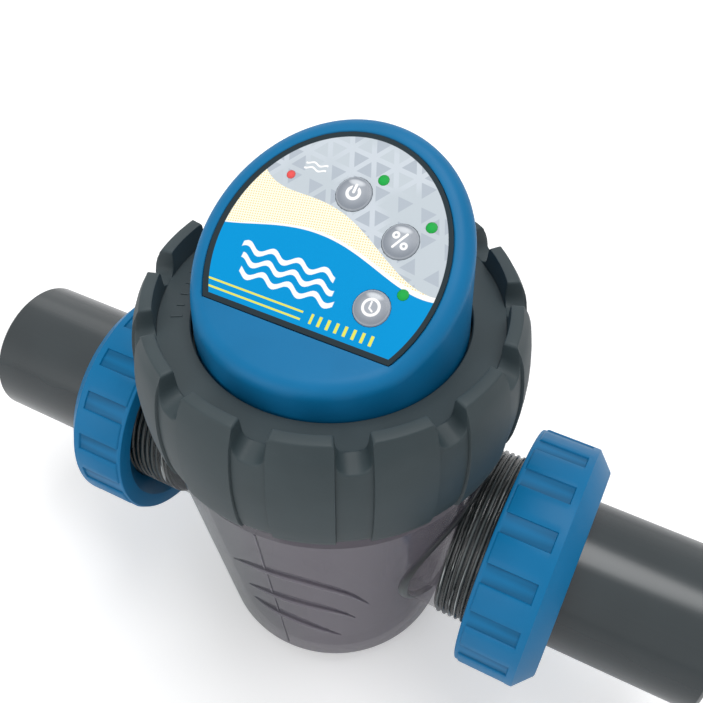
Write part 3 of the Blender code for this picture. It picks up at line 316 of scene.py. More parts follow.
blueFinish = moulded("blue_mould", mouldLook["blueDeep"], mouldLook["blue"], mouldLook["grain"],
                     mouldLook["roughness"], mouldLook["shine"])
ringFinish = moulded("ring_mould", ringLook["colour"], ringLook["pale"], ringLook["grain"],
                     ringLook["roughness"], ringLook["shine"])
blackFinish = moulded("black_mould", rgb(34, 35, 37), rgb(46, 48, 50), 0.00004, 0.42)
rubberFinish = moulded("seal_rubber", rgb(26, 26, 27), rgb(38, 38, 39), 0.00006, 0.68)


def extruded():
    # pipe drawn from a die: fine lines along its length and a broad sheen
    finish = Finish("pipe_extrusion", specular_IOR_level=0.6)
    lines = finish.noise(90.0, 4.0, (0.03, 8.0, 8.0))
    cloud = finish.noise(24.0, 2.0)
    shade = finish.mix(cloud.step(0.3, 0.7) * 0.6 + lines * 0.25, pipeLook["colour"], pipeLook["pale"])
    finish.set(base_color=shade, roughness=pipeLook["roughness"] + lines * 0.08)
    finish.set(normal=finish.bump(lines, 0.00003, 0.30))
    return finish


def clearPlastic(name, alpha):
    # smoky see-through plastic with flow marks
    finish = Finish(name, specular_IOR_level=0.35)
    flow = finish.noise(16.0, 3.0, (1.0, 1.0, 0.35))
    fine = finish.noise(300.0, 2.0)
    x, y, z = finish.parts(finish.place())
    warm = (x + flow * 0.02).step(-0.022, 0.036)
    shade = finish.mix(warm, clearLook["smoke"], clearLook["tint"])
    finish.set(base_color=shade, roughness=clearLook["roughness"] + fine * 0.05)
    low = z - pipeHeight
    inNeck = (y * y + low * low).step(0.0377 ** 2, 0.0370 ** 2) * abs(x).step(0.0500, 0.0515)
    finish.set(alpha=(alpha + flow * 0.12) * (1 - inNeck) + inNeck * clearLook["neckAlpha"])
    finish.set(normal=finish.bump(flow, 0.0006, 0.25, finish.bump(fine, 0.00001, 0.2)))
    return finish


def threadPlastic():
    # clear thread with painted light: painted shade in the grooves, painted highlight on the crests, patches of painted
    # shadow and painted highlight streaks that run round the neck
    finish = Finish("smoky_thread", specular_IOR_level=0.5)
    x, y, z = finish.parts(finish.place())
    share = ((abs(x) - neckSize["start"]) / neckSize["pitch"]) % 1
    crest = abs(share - 0.5).step(0.34, 0.16)
    glintStreak = finish.noise(34.0, 3.0, (26.0, 1.0, 1.0))
    shadow = finish.noise(30.0, 2.0, (5.0, 1.0, 1.0))
    # painted shade in the grooves and painted highlight on the crests
    shade = finish.mix(crest, rgb(26, 32, 33), rgb(82, 88, 89))
    # patches of painted shadow
    shade = finish.mix(shadow.step(0.56, 0.40), shade, rgb(30, 36, 37))
    # painted highlight streaks, brightest on the crests
    shade = finish.mix(glintStreak.step(0.60, 0.66) * (0.35 + crest * 0.65), shade, rgb(186, 191, 192))
    finish.set(base_color=shade, roughness=0.16 + shadow * 0.10, alpha=0.80 + crest * 0.12)
    finish.set(normal=finish.bump(glintStreak, 0.0002, 0.4))
    return finish


def creasePlastic():
    # thick plastic in the corner between cup and neck, darker towards the top
    finish = Finish("smoky_crease", specular_IOR_level=0.4)
    x, y, z = finish.parts(finish.place())
    cloud = finish.noise(60.0, 2.0)
    shade = finish.mix((z + cloud * 0.01).step(0.082, 0.104), rgb(82, 90, 92), rgb(38, 41, 46))
    finish.set(base_color=shade, roughness=0.25 + cloud * 0.1, alpha=0.82 + cloud * 0.12)
    finish.set(normal=finish.bump(finish.noise(300.0), 0.00004, 0.4))
    return finish


def metal(name, colour, roughness, stretch):
    finish = Finish(name, metallic=1.0)
    lines = finish.noise(140.0, 3.0, stretch)
    finish.set(base_color=finish.mix(lines, colour, tuple(c * 0.7 for c in colour[:3]) + (1.0,)))
    finish.set(roughness=roughness + lines * 0.2, normal=finish.bump(lines, 0.00004, 0.4))
    return finish


def coatedPlate():
    # titanium plate with a dark oxide coat, bare towards its top
    finish = Finish("coated_plate")
    height = finish.parts(finish.place())[2]
    cloud = finish.noise(60.0, 4.0)
    bare = (height + cloud * 0.003).step(0.160, 0.166)
    coat = finish.mix(cloud, rgb(60, 44, 58), rgb(96, 80, 94))
    finish.set(base_color=finish.mix(bare, coat, rgb(150, 148, 145)), metallic=0.3 + bare * 0.6)
    finish.set(roughness=0.5 + cloud * 0.2 - bare * 0.2, normal=finish.bump(finish.noise(900.0), 0.00005, 0.6))
    return finish


def boardFinish():
    # solder mask over copper tracks
    finish = Finish("solder_mask")
    x, y, z = finish.parts(finish.place())
    track = (abs((x + y * 0.5) % 0.004 - 0.002) < 0.0006) * (finish.noise(90.0) > 0.5)
    finish.set(base_color=finish.mix(track, rgb(16, 70, 44), rgb(30, 104, 66)), roughness=0.35 + track * 0.1)
    finish.set(normal=finish.bump(track, 0.00003, 0.8))
    return finish


neckSize = {"bore": 0.0290, "root": 0.0363, "crest": 0.0372, "pitch": 0.0026, "start": 0.0650, "end": 0.0970,
            "crease": 0.0013, "creaseSwell": 0.0012}
pipeFinish = extruded()
threadFinish = threadPlastic()
creaseFinish = creasePlastic()
clearFinish = clearPlastic("smoky_clear", clearLook["alpha"])
# painted shade: this finish is more opaque than the cup, so the ribs read darker; the mould lines share it
ribFinish = clearPlastic("smoky_rib", 0.80)
plateFinish = coatedPlate()
steelFinish = metal("turned_steel", rgb(188, 190, 194), 0.22, (1.0, 1.0, 20.0))
postFinish = metal("titanium_rod", rgb(160, 156, 150), 0.3, (1.0, 1.0, 20.0))
copperBoard = boardFinish()
redLead = moulded("red_sleeve", rgb(150, 30, 28), rgb(176, 44, 40), 0.00004, 0.4)
print("plain finishes made")


# lock ring

ringSize = {
    "notches": 13, "firstNotch": -1.0, "strip": 0.0011, "edge": 0.0008,
    "top": 0.1998, "deck": 0.1900, "sill": 0.1902, "under": 0.1838, "bottom": 0.1455,
    "bore": 0.0679, "hole": 0.0517, "wallInner": 0.0640,
    "floorHalf": 0.0012, "floorRound": 0.0047, "floorDrop": 0.0018, "cornerRound": 0.0011,
    "slotTop": 0.1856, "rimRadius": 0.0722,   # heights above slotTop follow the notches
}
barrel = [(0.1455, 0.07140), (0.1475, 0.07235), (0.150, 0.07305), (0.154, 0.07385), (0.158, 0.07430),
          (0.163, 0.07464), (0.168, 0.07478), (0.173, 0.07474), (0.178, 0.07440), (0.183, 0.07385),
          (0.188, 0.07305), (0.193, 0.07190), (0.197, 0.07030), (0.1990, 0.06890), (0.1998, 0.06815)]


def barrelRadius(z):
    for (lowZ, lowR), (highZ, highR) in zip(barrel, barrel[1:]):
        if z <= highZ:
            return lowR + (highR - lowR) * (z - lowZ) / (highZ - lowZ)
    return barrel[-1][1]


def notchColumns():
    # (offset along the rim from the middle of a notch, top, pad share) for half a notch
    size = ringSize
    columns = [(0.0, size["sill"], 0), (size["floorHalf"], size["sill"], 0)]
    for step in range(1, 7):
        bend = math.pi / 2 * step / 6.2
        along = size["floorHalf"] + size["floorRound"] * math.sin(bend)
        columns.append((along, size["sill"] + size["floorRound"] * (1 - math.cos(bend)), 0))
    wall = size["floorHalf"] + size["floorRound"] + 0.0001
    low = size["sill"] + size["floorRound"]
    high = size["top"] - size["cornerRound"]
    for share, pad in ((0.3, 0), (0.7, 0.4), (1.0, 0.9)):
        columns.append((wall + 0.0003 * share, low + (high - low) * share, pad))
    for step in range(1, 5):
        bend = math.pi / 2 * step / 4
        along = wall + 0.0003 + size["cornerRound"] * (1 - math.cos(bend))
        columns.append((along, high + size["cornerRound"] * math.sin(bend), 1))
    return columns


def ringColumn(angle, top, pad):
    size = ringSize
    sunk = size["strip"] * (1 - pad)
    edge = size["edge"]
    fixed = size["slotTop"]
    rim = top - size["floorDrop"] * (1 - pad)
    rows = [(size["bore"] + 0.0006, size["bottom"]), (0.0706 - sunk, size["bottom"])]
    rows += [(0.0712 - sunk, size["bottom"] + 0.0003)]
    rows += [(r - sunk, z) for z, r in barrel[1:-3] if z < fixed]
    rows.append((barrelRadius(fixed) - sunk, fixed))
    for share in (0.25, 0.5, 0.75, 1.0):
        z = fixed + (rim - edge - fixed) * share
        rows.append((barrelRadius(z) - sunk, z))
    outer = rows[-1][0]
    for step in (1, 2, 3):
        bend = math.pi / 2 * step / 3
        rows.append((outer - edge * (1 - math.cos(bend)), rim - edge * (1 - math.sin(bend))))
    inner = size["wallInner"]
    soft = min(0.0006, (top - size["deck"]) * 0.5)
    rows += [(inner + soft, top), (inner + soft * 0.3, top - soft * 0.3), (inner, top - soft)]
    deck = size["deck"]
    rows += [(inner, min(deck + 0.0006, top - 0.0001)), (inner - 0.0002, deck + 0.0001), (inner - 0.0008, deck)]
    rows += [(size["hole"] + 0.0004, deck), (size["hole"], deck - 0.0004)]
    rows += [(size["hole"], size["under"]), (size["bore"], size["under"]), (size["bore"], size["bottom"] + 0.0006)]
    return [(r * math.cos(angle), r * math.sin(angle), z) for r, z in rows]


def ringShape():
    size = ringSize
    pitch = 2 * math.pi / size["notches"]
    half = notchColumns()
    edge = half[-1][0] / size["rimRadius"]
    columns = []
    for notch in range(size["notches"]):
        middle = math.radians(size["firstNotch"]) + notch * pitch
        for along, top, pad in reversed(half[1:]):
            columns.append(ringColumn(middle - along / size["rimRadius"], top, pad))
        for along, top, pad in half:
            columns.append(ringColumn(middle + along / size["rimRadius"], top, pad))
        for step in range(1, 9):
            angle = middle + edge + (pitch - 2 * edge) * step / 9
            columns.append(ringColumn(angle, size["top"], 1))
    points = [point for column in columns for point in column]
    return points, aroundFaces(len(columns), len(columns[0]))


def raisedBar(start, end, width, low, high):
    # a thin bar with sloping sides, standing on a flat face
    a, b = Vector(start), Vector(end)
    across = Vector((-(b - a).y, (b - a).x)).normalized() * width / 2
    foot = [a - across, b - across, b + across, a + across]
    middle = (a + b) / 2
    crown = [middle + (corner - middle) * 0.82 for corner in foot]
    points = [(*corner, low) for corner in foot] + [(*corner, high) for corner in crown]
    faces = [(0, 1, 2, 3), (4, 5, 6, 7)] + [(i, (i + 1) % 4, (i + 1) % 4 + 4, i + 4) for i in range(4)]
    return points, faces


turnScale = {"middle": 186.0, "step": 6.0, "ticks": 9, "inner": 0.0545, "outer": 0.0578, "long": 0.0592,
             "width": 0.0006, "rise": 0.00025}


def turnMarks():
    # plain raised ticks on the deck that show how far the ring is turned
    mark = turnScale
    shapes = []
    for tick in range(mark["ticks"]):
        angle = math.radians(mark["middle"] + (tick - mark["ticks"] // 2) * mark["step"])
        along = Vector((math.cos(angle), math.sin(angle)))
        outer = mark["long"] if tick % 4 == 0 else mark["outer"]
        low, high = ringSize["deck"] - 0.0001, ringSize["deck"] + mark["rise"]
        shapes.append(raisedBar(along * mark["inner"], along * outer, mark["width"], low, high))
    return together(*shapes)


lockRing = loose("lock_ring_body", together(ringShape(), turnMarks()))
addPiece(lockRing, ringFinish, "lock_ring", ["lock_ring"])
print("lock ring made:", len(lockRing.data.polygons), "faces")


# union nuts and spigots

nutSize = {
    "radius": 0.0520, "slotRadius": 0.0513, "pads": 16, "slotHalf": 4.4,
    "slotMiddle": {-1: 137.2, 1: 113.3},
    "inner": 0.0800, "padStart": 0.0818, "slotEnd": 0.1016, "nose": 0.10485, "outer": 0.1117,
    "noseRadius": 0.0447, "mouth": 0.0445, "bore": 0.0376, "lip": 0.1033, "lipBore": 0.0319,
}


def nutColumn(angle, pad):
    size = nutSize
    high, low = size["radius"], size["slotRadius"]
    radius = low + (high - low) * pad
    rows = [(size["mouth"], size["inner"]), (size["bore"], size["inner"] + 0.006), (size["bore"], size["lip"])]
    rows += [(size["lipBore"], size["lip"]), (size["lipBore"], size["outer"] - 0.0004)]
    rows += [(size["lipBore"] + 0.0004, size["outer"]), (size["noseRadius"] - 0.0008, size["outer"])]
    rows += [(size["noseRadius"] - 0.0001, size["outer"] - 0.0003)]
    rows += [(high - 0.0007, size["nose"] + 0.0005), (high - 0.0001, size["nose"]), (high, size["nose"] - 0.0007)]
    rows += [(high, size["slotEnd"] + 0.0004), (radius, size["slotEnd"]), (radius, size["padStart"] + 0.0004)]
    rows += [(radius - (radius - low) * 0.3, size["padStart"] + 0.0001), (low, size["padStart"] - 0.0003)]
    rows += [(low, size["inner"] + 0.0006), (low - 0.0002, size["inner"] + 0.0002), (low - 0.0006, size["inner"])]
    return [(r * math.cos(angle), r * math.sin(angle), x) for r, x in rows]


def nutShape(side):
    size = nutSize
    pitch = 360 / size["pads"]
    half = size["slotHalf"]
    stops = [(-half, 0), (-half / 2, 0), (0, 0), (half / 2, 0), (half, 0), (half + 0.25, 0.8), (half + 0.5, 1)]
    stops += [(half + 0.5 + (pitch - 2 * half - 1) * share, 1) for share in (0.25, 0.5, 0.75, 1.0)]
    stops.append((pitch - half - 0.25, 0.8))
    # slot angles are measured from the back towards the top; local X points down on the right, up on the left
    first = 90 + side * size["slotMiddle"][side]
    columns = []
    for pad in range(size["pads"]):
        for offset, share in stops:
            columns.append(nutColumn(math.radians(first + pad * pitch + offset), share))
    points = [tuple(alongX(side) @ Vector(point)) for column in columns for point in column]
    return points, aroundFaces(len(columns), len(columns[0]))


spigotSize = {"radius": 0.0315, "bore": 0.0250, "end": 0.170, "flange": 0.0372, "face": 0.0973, "back": 0.1030,
              "grooveIn": 0.0311, "grooveOut": 0.0339, "grooveFloor": 0.0998}


def spigotShape(side):
    size = spigotSize
    corners = [(size["bore"], size["face"], 0.0003), (size["grooveIn"], size["face"], 0)]
    corners += [(size["grooveIn"], size["grooveFloor"], 0)]
    corners += [(size["grooveOut"], size["grooveFloor"], 0), (size["grooveOut"], size["face"], 0)]
    corners += [(size["flange"], size["face"], 0.0004), (size["flange"], size["back"], 0.0004)]
    corners += [(size["radius"], size["back"], 0.0005), (size["radius"], size["end"] - 0.0016, 0.0006)]
    corners += [(size["radius"] - 0.0016, size["end"], 0.0005), (size["bore"], size["end"], 0.0004)]
    return turned(softOutline(corners), 96, alongX(side))


for side, word in ((-1, "left"), (1, "right")):
    nut = loose(word + "_nut_body", nutShape(side))
    addPiece(nut, blueFinish, word + "_nut", [word + "_union_nut"])
    spigot = loose(word + "_spigot", spigotShape(side))
    addPiece(spigot, pipeFinish, "housing", [word + "_tailpiece"])
print("union nuts and spigots made")


# clear housing

cupSize = {
    "radius": 0.0626, "taper": 0.12, "wall": 0.0040, "floor": 0.0060, "round": 0.0100, "foot": 0.0420,
    "footWidth": 0.0060, "shoulder": 0.1380, "rimRoot": 0.0667, "rimCrest": 0.0675, "rimPitch": 0.0072,
    "rimStart": 0.1491, "rimTurns": 3, "rimTop": 0.1782, "mouth": 0.0615,
}


def cupRadius(z):
    return cupSize["radius"] + cupSize["taper"] * (z - pipeHeight)


def cupOutline():
    size = cupSize
    under = size["floor"]
    corner = cupRadius(under) - size["round"]
    inner = size["foot"] - size["footWidth"]
    corners = [(inner, under, 0.0006), (inner, 0.0, 0.0006), (size["foot"], 0.0, 0.0008), (size["foot"], under, 0.0002)]
    points = [(0.0, under)] + softOutline([(0.0, under, 0)] + corners + [(corner, under, 0)], False)[1:-1]
    for step in range(1, 9):
        bend = math.pi / 2 * step / 8
        z = under + size["round"] * (1 - math.cos(bend))
        points.append((corner + size["round"] * math.sin(bend) + cupRadius(z) - cupRadius(under), z))
    for z in (0.03, 0.05, 0.07, 0.09, 0.11, 0.125, size["shoulder"]):
        points.append((cupRadius(z), z))
    points.append((size["rimRoot"], size["shoulder"] + 0.0022))
    for turn in range(size["rimTurns"]):
        z = size["rimStart"] + turn * size["rimPitch"]
        rows = ((0.0, 0), (0.25, 0.8), (0.5, 1), (0.75, 0.8))
        depth = size["rimCrest"] - size["rimRoot"]
        points += [(size["rimRoot"] + depth * rise, z + size["rimPitch"] * share) for share, rise in rows]
    points += [(size["rimRoot"], size["rimStart"] + size["rimTurns"] * size["rimPitch"])]
    points += [(size["rimRoot"], size["rimTop"] - 0.0005), (size["rimRoot"] - 0.0005, size["rimTop"])]
    points += [(0.0, size["rimTop"])]
    return points[1:-1]


def cavityOutline():
    size = cupSize
    floor = size["floor"] + size["wall"]
    straight = pipeHeight + (size["mouth"] + size["wall"] - size["radius"]) / size["taper"]
    side = cupRadius(floor) - size["wall"]
    points = []
    for step in range(7):
        bend = math.pi / 2 * step / 6
        z = floor + 0.006 * (1 - math.cos(bend))
        points.append((side - 0.006 + 0.006 * math.sin(bend) + cupRadius(z) - cupRadius(floor), z))
    return points + [(size["mouth"], straight), (size["mouth"], 0.19)]


def threadShape(side):
    # ridges round a neck, sunk a little into its wall
    size = neckSize
    turns = int((size["end"] - 0.0010 - size["start"]) / size["pitch"])
    depth = size["crest"] - size["root"]
    points = [(size["root"] - 0.0006, size["start"] - 0.0004)]
    for turn in range(turns):
        x = size["start"] + turn * size["pitch"]
        for share, rise in ((0.0, 0), (0.2, 0.15), (0.4, 1), (0.6, 1), (0.8, 0.15)):
            points.append((size["root"] + depth * rise, x + size["pitch"] * share))
    last = size["start"] + turns * size["pitch"]
    points += [(size["root"], last), (size["root"] - 0.0006, last + 0.0004)]
    return turned(points, 96, alongX(side))


def creaseShape(side):
    # rounded band along the line where a neck meets the cup, stoutest at its front and back
    size = neckSize
    steps, around = 96, 10
    line = []
    for step in range(steps):
        angle = 2 * math.pi * step / steps
        y, z = size["root"] * math.sin(angle), pipeHeight + size["root"] * math.cos(angle)
        line.append(Vector((side * math.sqrt(cupRadius(z) ** 2 - y * y), y, z)))
    points = []
    for step, spot in enumerate(line):
        along = (line[(step + 1) % steps] - line[step - 1]).normalized()
        outward = Vector((0, spot.y, spot.z - pipeHeight)).normalized()
        across = along.cross(outward).normalized()
        radius = size["crease"] + size["creaseSwell"] * abs(math.sin(2 * math.pi * step / steps + 0.25)) ** 8
        for turn in range(around):
            bend = 2 * math.pi * turn / around
            points.append(tuple(spot + outward * (radius * 0.7 * math.cos(bend)) + across * (radius * math.sin(bend))))
    return points, aroundFaces(steps, around)


def makeHousing():
    cup = loose("cup_and_necks", turned(cupOutline(), 128, closed=False))
    root, end = neckSize["root"], neckSize["end"]
    neck = [(root, 0.042), (root, 0.060), (root, 0.080), (root, end - 0.0005), (root - 0.0005, end)]
    cut(cup, [loose("neck", turned(neck, 96, alongX(side), closed=False)) for side in (-1, 1)], "UNION")
    bore = turned([(neckSize["bore"], -0.10), (neckSize["bore"], 0.10)], 80, alongX(1), closed=False)
    cut(cup, [loose("cavity", turned(cavityOutline(), 128, closed=False)), loose("bore", bore)], "DIFFERENCE")
    return cup


housing = addPiece(makeHousing(), clearFinish, "housing", ["cell_housing"])
threads = loose("neck_threads", together(threadShape(-1), threadShape(1)))
addPiece(threads, threadFinish, "housing")
creases = loose("neck_creases", together(creaseShape(-1), creaseShape(1)))
addPiece(creases, creaseFinish, "housing")
print("clear housing made:", len(housing.data.polygons), "faces")

# (degrees round the cup, height over the pipe axis in mm) along each rib
ribPaths = [
    [(-103, 7.5), (-98, 12.0), (-92, 15.4), (-86, 17.0), (-80, 17.4), (-74, 16.6), (-68, 13.8), (-62, 9.4),
     (-56, 2.6), (-52, -4.6), (-49, -11.0)],
    [(-99, -12.4), (-93, -9.6), (-86, -8.0), (-79, -8.2), (-72, -9.6), (-65, -12.8), (-59, -18.0), (-54, -25.0)],
    [(-99, -27.0), (-94, -28.0), (-88, -29.2), (-81, -31.0), (-74, -34.5), (-67, -39.5), (-60, -46.0)],
]
ribSize = {"proud": 0.0014, "width": 0.0034, "sunk": 0.0004, "mouldLine": -87.0, "lineWidth": 0.0009,
           "lineProud": 0.0004, "lineLow": 0.0180, "lineHigh": 0.1378}


def smoothPath(knots, steps):
    padded = [[2 * a - b for a, b in zip(knots[0], knots[1])]] + knots
    padded.append([2 * a - b for a, b in zip(knots[-1], knots[-2])])
    path = []
    for a, b, c, d in zip(padded, padded[1:], padded[2:], padded[3:]):
        for step in range(steps):
            t = step / steps
            path.append([0.5 * (2 * q + (r - p) * t + (2 * p - 5 * q + 4 * r - s) * t * t
                                + (3 * q - p - 3 * r + s) * t ** 3) for p, q, r, s in zip(a, b, c, d)])
    return path + [knots[-1]]


def ribShape(path, turn, width, proud, taper):
    path = smoothPath(path, 6)
    columns = []
    for index, (degrees, height) in enumerate(path):
        share = index / (len(path) - 1)
        swell = 1 - abs(2 * share - 1) ** 2.2 * taper
        angle = math.radians(degrees) + turn
        z = pipeHeight + height / 1000
        sections = ((-0.5, 0.0), (-0.42, 0.75), (-0.15, 1.0), (0.2, 0.95), (0.42, 0.6), (0.5, 0.0))
        for across, rise in sections:
            at = z + across * width * swell
            r = cupRadius(at) + (proud * rise * swell if rise else -ribSize["sunk"])
            columns.append((r * math.cos(angle), r * math.sin(angle), at))
    count = len(sections)
    faces = []
    for index in range(len(path) - 1):
        for row in range(count):
            other = (row + 1) % count
            near, far = index * count, (index + 1) * count
            faces.append((near + row, near + other, far + other, far + row))
    faces += [list(range(count)), list(range(len(columns) - count, len(columns)))]
    return columns, faces


def mouldLineShape(turn):
    size = ribSize
    steps = 24
    columns = []
    for step in range(steps + 1):
        z = size["lineLow"] + (size["lineHigh"] - size["lineLow"]) * step / steps
        for across, rise in ((-1, 0), (-0.6, 1), (0.6, 1), (1, 0)):
            angle = math.radians(size["mouldLine"]) + turn + across * size["lineWidth"] / 2 / cupRadius(z)
            r = cupRadius(z) + (size["lineProud"] if rise else -0.0002)
            columns.append((r * math.cos(angle), r * math.sin(angle), z))
    faces = []
    for step in range(steps):
        for row in range(4):
            other = (row + 1) % 4
            faces.append((step * 4 + row, step * 4 + other, step * 4 + 4 + other, step * 4 + 4 + row))
    faces += [tuple(range(4)), tuple(range(steps * 4, steps * 4 + 4))]
    return columns, faces


ribs = []
for turn in (0, math.pi):
    ribs += [ribShape(path, turn, ribSize["width"], ribSize["proud"], 0.85) for path in ribPaths]
ribPiece = loose("cup_ribs", together(*ribs))
addPiece(ribPiece, ribFinish, "housing")
linePiece = loose("cup_mould_lines", together(mouldLineShape(0), mouldLineShape(math.pi)))
addPiece(linePiece, ribFinish, "housing")
print("cup ribs made")


# head shell

headSize = {
    "radius": 0.0511, "foot": 0.1838, "draft": 0.045, "wall": 0.0026, "roof": 0.0030, "round": 0.0060,
    "peak": 0.13357, "foldY": -0.0281, "chin": math.radians(8.0), "foldSoft": 0.0004,
    "panelRadius": 0.04285, "panelGap": 0.0003, "recess": 0.0010, "ledge": 0.0040,
    "bossRadius": 0.0110, "bossFace": 0.0512, "bossHeight": 0.216, "stemHole": 0.0064,
}


def roofHeight(y):
    size = headSize
    slope = size["peak"] + y * math.tan(panelSlope)
    chin = size["peak"] + size["foldY"] * math.tan(panelSlope) + (y - size["foldY"]) * math.tan(size["chin"])
    soft = math.sqrt((slope - chin) ** 2 + size["foldSoft"] ** 2)
    return pipeHeight + (slope + chin + soft) / 2


def headRadius(z):
    return headSize["radius"] - headSize["draft"] * (z - headSize["foot"])


def rayToCircle(angle, radius):
    # distance from the middle of the panel to a circle round the head's axis
    lean = panelY * math.sin(angle)
    return -lean + math.sqrt(lean * lean - panelY * panelY + radius * radius)


def panelReach(angle, grow):
    # distance from the middle of the panel to its edge, seen from above
    reach = headSize["panelRadius"] + grow
    chord = headSize["foldY"] - grow - panelY
    if math.sin(angle) < 0:
        reach = min(reach, chord / math.sin(angle))
    return reach


def headColumn(angle):
    size = headSize
    wide = size["round"]

    def at(reach, z):
        return (reach * math.cos(angle), panelY + reach * math.sin(angle), z)

    def roofAt(reach):
        return roofHeight(panelY + reach * math.sin(angle))

    side = rayToCircle(angle, size["radius"])
    for _ in range(6):
        middle = side - wide
        lean = (roofAt(middle + 0.0003) - roofAt(middle - 0.0003)) / 0.0006
        centre = roofAt(middle) - wide * math.sqrt(1 + lean * lean)
        side = rayToCircle(angle, headRadius(centre))
    foot = size["foot"]
    inner = rayToCircle(angle, size["radius"] - size["wall"])
    rows = [at(inner, foot), at(rayToCircle(angle, size["radius"] - 0.0004), foot)]
    rows.append(at(rayToCircle(angle, headRadius(foot + 0.0004)), foot + 0.0004))
    for share in (0.2, 0.4, 0.6, 0.8, 1.0):
        z = foot + 0.0004 + (centre - foot - 0.0004) * share
        rows.append(at(rayToCircle(angle, headRadius(z)), z))
    full = math.pi / 2 + math.atan(lean)
    for step in range(1, 11):
        bend = full * step / 10
        rows.append(at(middle + wide * math.cos(bend), centre + wide * math.sin(bend)))
    start = middle + wide * math.cos(full)
    edge = panelReach(angle, size["panelGap"])
    for share in (0.35, 0.7, 1.0):
        reach = start + (edge + 0.0003 - start) * share
        rows.append(at(reach, roofAt(reach)))
    drop = size["recess"] / math.cos(panelSlope)
    flat = pipeHeight + size["peak"]
    rows.append(at(edge, flat + (panelY + edge * math.sin(angle)) * math.tan(panelSlope) - 0.0003))
    reaches = (edge, edge - size["ledge"])
    slopeAt = [flat + (panelY + reach * math.sin(angle)) * math.tan(panelSlope) for reach in reaches]
    rows += [at(edge, slopeAt[0] - drop), at(edge - size["ledge"], slopeAt[1] - drop)]
    under = size["roof"] / math.cos(panelSlope)
    rows.append(at(edge - size["ledge"], slopeAt[1] - under))
    rows.append(at(inner - 0.0040, roofAt(inner - 0.0040) - under))
    corner = rayToCircle(angle, headRadius(centre) - size["wall"])
    rows.append(at(corner, centre - 0.0015))
    return rows


def headShape():
    size = headSize
    corner = math.asin((size["foldY"] - size["panelGap"] - panelY) / (size["panelRadius"] + size["panelGap"]))
    upper = 120
    lower = 40
    angles = [corner + (math.pi - 2 * corner) * step / upper for step in range(upper)]
    angles += [math.pi - corner + (math.pi + 2 * corner) * step / lower for step in range(lower)]
    columns = [headColumn(angle) for angle in angles]
    return [point for column in columns for point in column], aroundFaces(len(columns), len(columns[0]))


def makeHead():
    size = headSize
    shell = loose("head_casing", headShape())
    facing = Matrix.Translation((0, 0, size["bossHeight"])) @ Matrix.Rotation(-math.pi / 2, 4, "X")
    radius, face = size["bossRadius"], size["bossFace"]
    boss = [(radius, 0.0440), (radius, face - 0.0008), (radius - 0.0002, face - 0.0003), (radius - 0.0008, face)]
    cut(shell, [loose("boss", turned(boss, 64, facing, closed=False))], "UNION")
    hole = [(size["stemHole"], 0.0400), (size["stemHole"], face + 0.002)]
    cut(shell, [loose("hole", turned(hole, 48, facing, closed=False))], "DIFFERENCE")
    return shell


head = addPiece(makeHead(), blueFinish, "head", ["head_shell"])
print("head casing made:", len(head.data.polygons), "faces")


# keypad

keypadLook = {
    "blue": rgb(0, 147, 211), "cream": rgb(250, 247, 228), "dot": rgb(238, 205, 120), "white": rgb(250, 250, 250),
    "grey": rgb(194, 203, 210), "greyDark": rgb(178, 187, 197), "greyPale": rgb(203, 211, 219),
    "stripe": rgb(228, 228, 96), "border": rgb(42, 54, 60), "borderWidth": 1.95, "shift": 0.25,
    "acrossHalf": 42.85, "alongHalf": 48.83, "chord": -27.0, "gridSide": 9.2, "gridTurn": 22.0, "band": 0.115,
}


def curveThrough(finish, x, knots):
    # height of a smooth line through the knots at x, in millimetres
    count = len(knots)
    powers = [[knot[0] ** power for power in range(count)] + [knot[1]] for knot in knots]
    for column in range(count):
        pivot = max(range(column, count), key=lambda row: abs(powers[row][column]))
        powers[column], powers[pivot] = powers[pivot], powers[column]
        powers[column] = [value / powers[column][column] for value in powers[column]]
        for row in range(count):
            if row != column:
                scale = powers[row][column]
                powers[row] = [value - scale * other for value, other in zip(powers[row], powers[column])]
    factors = [row[-1] for row in powers]
    result = x * factors[-1] + factors[-2]
    for factor in reversed(factors[:-2]):
        result = result * x + factor
    return result


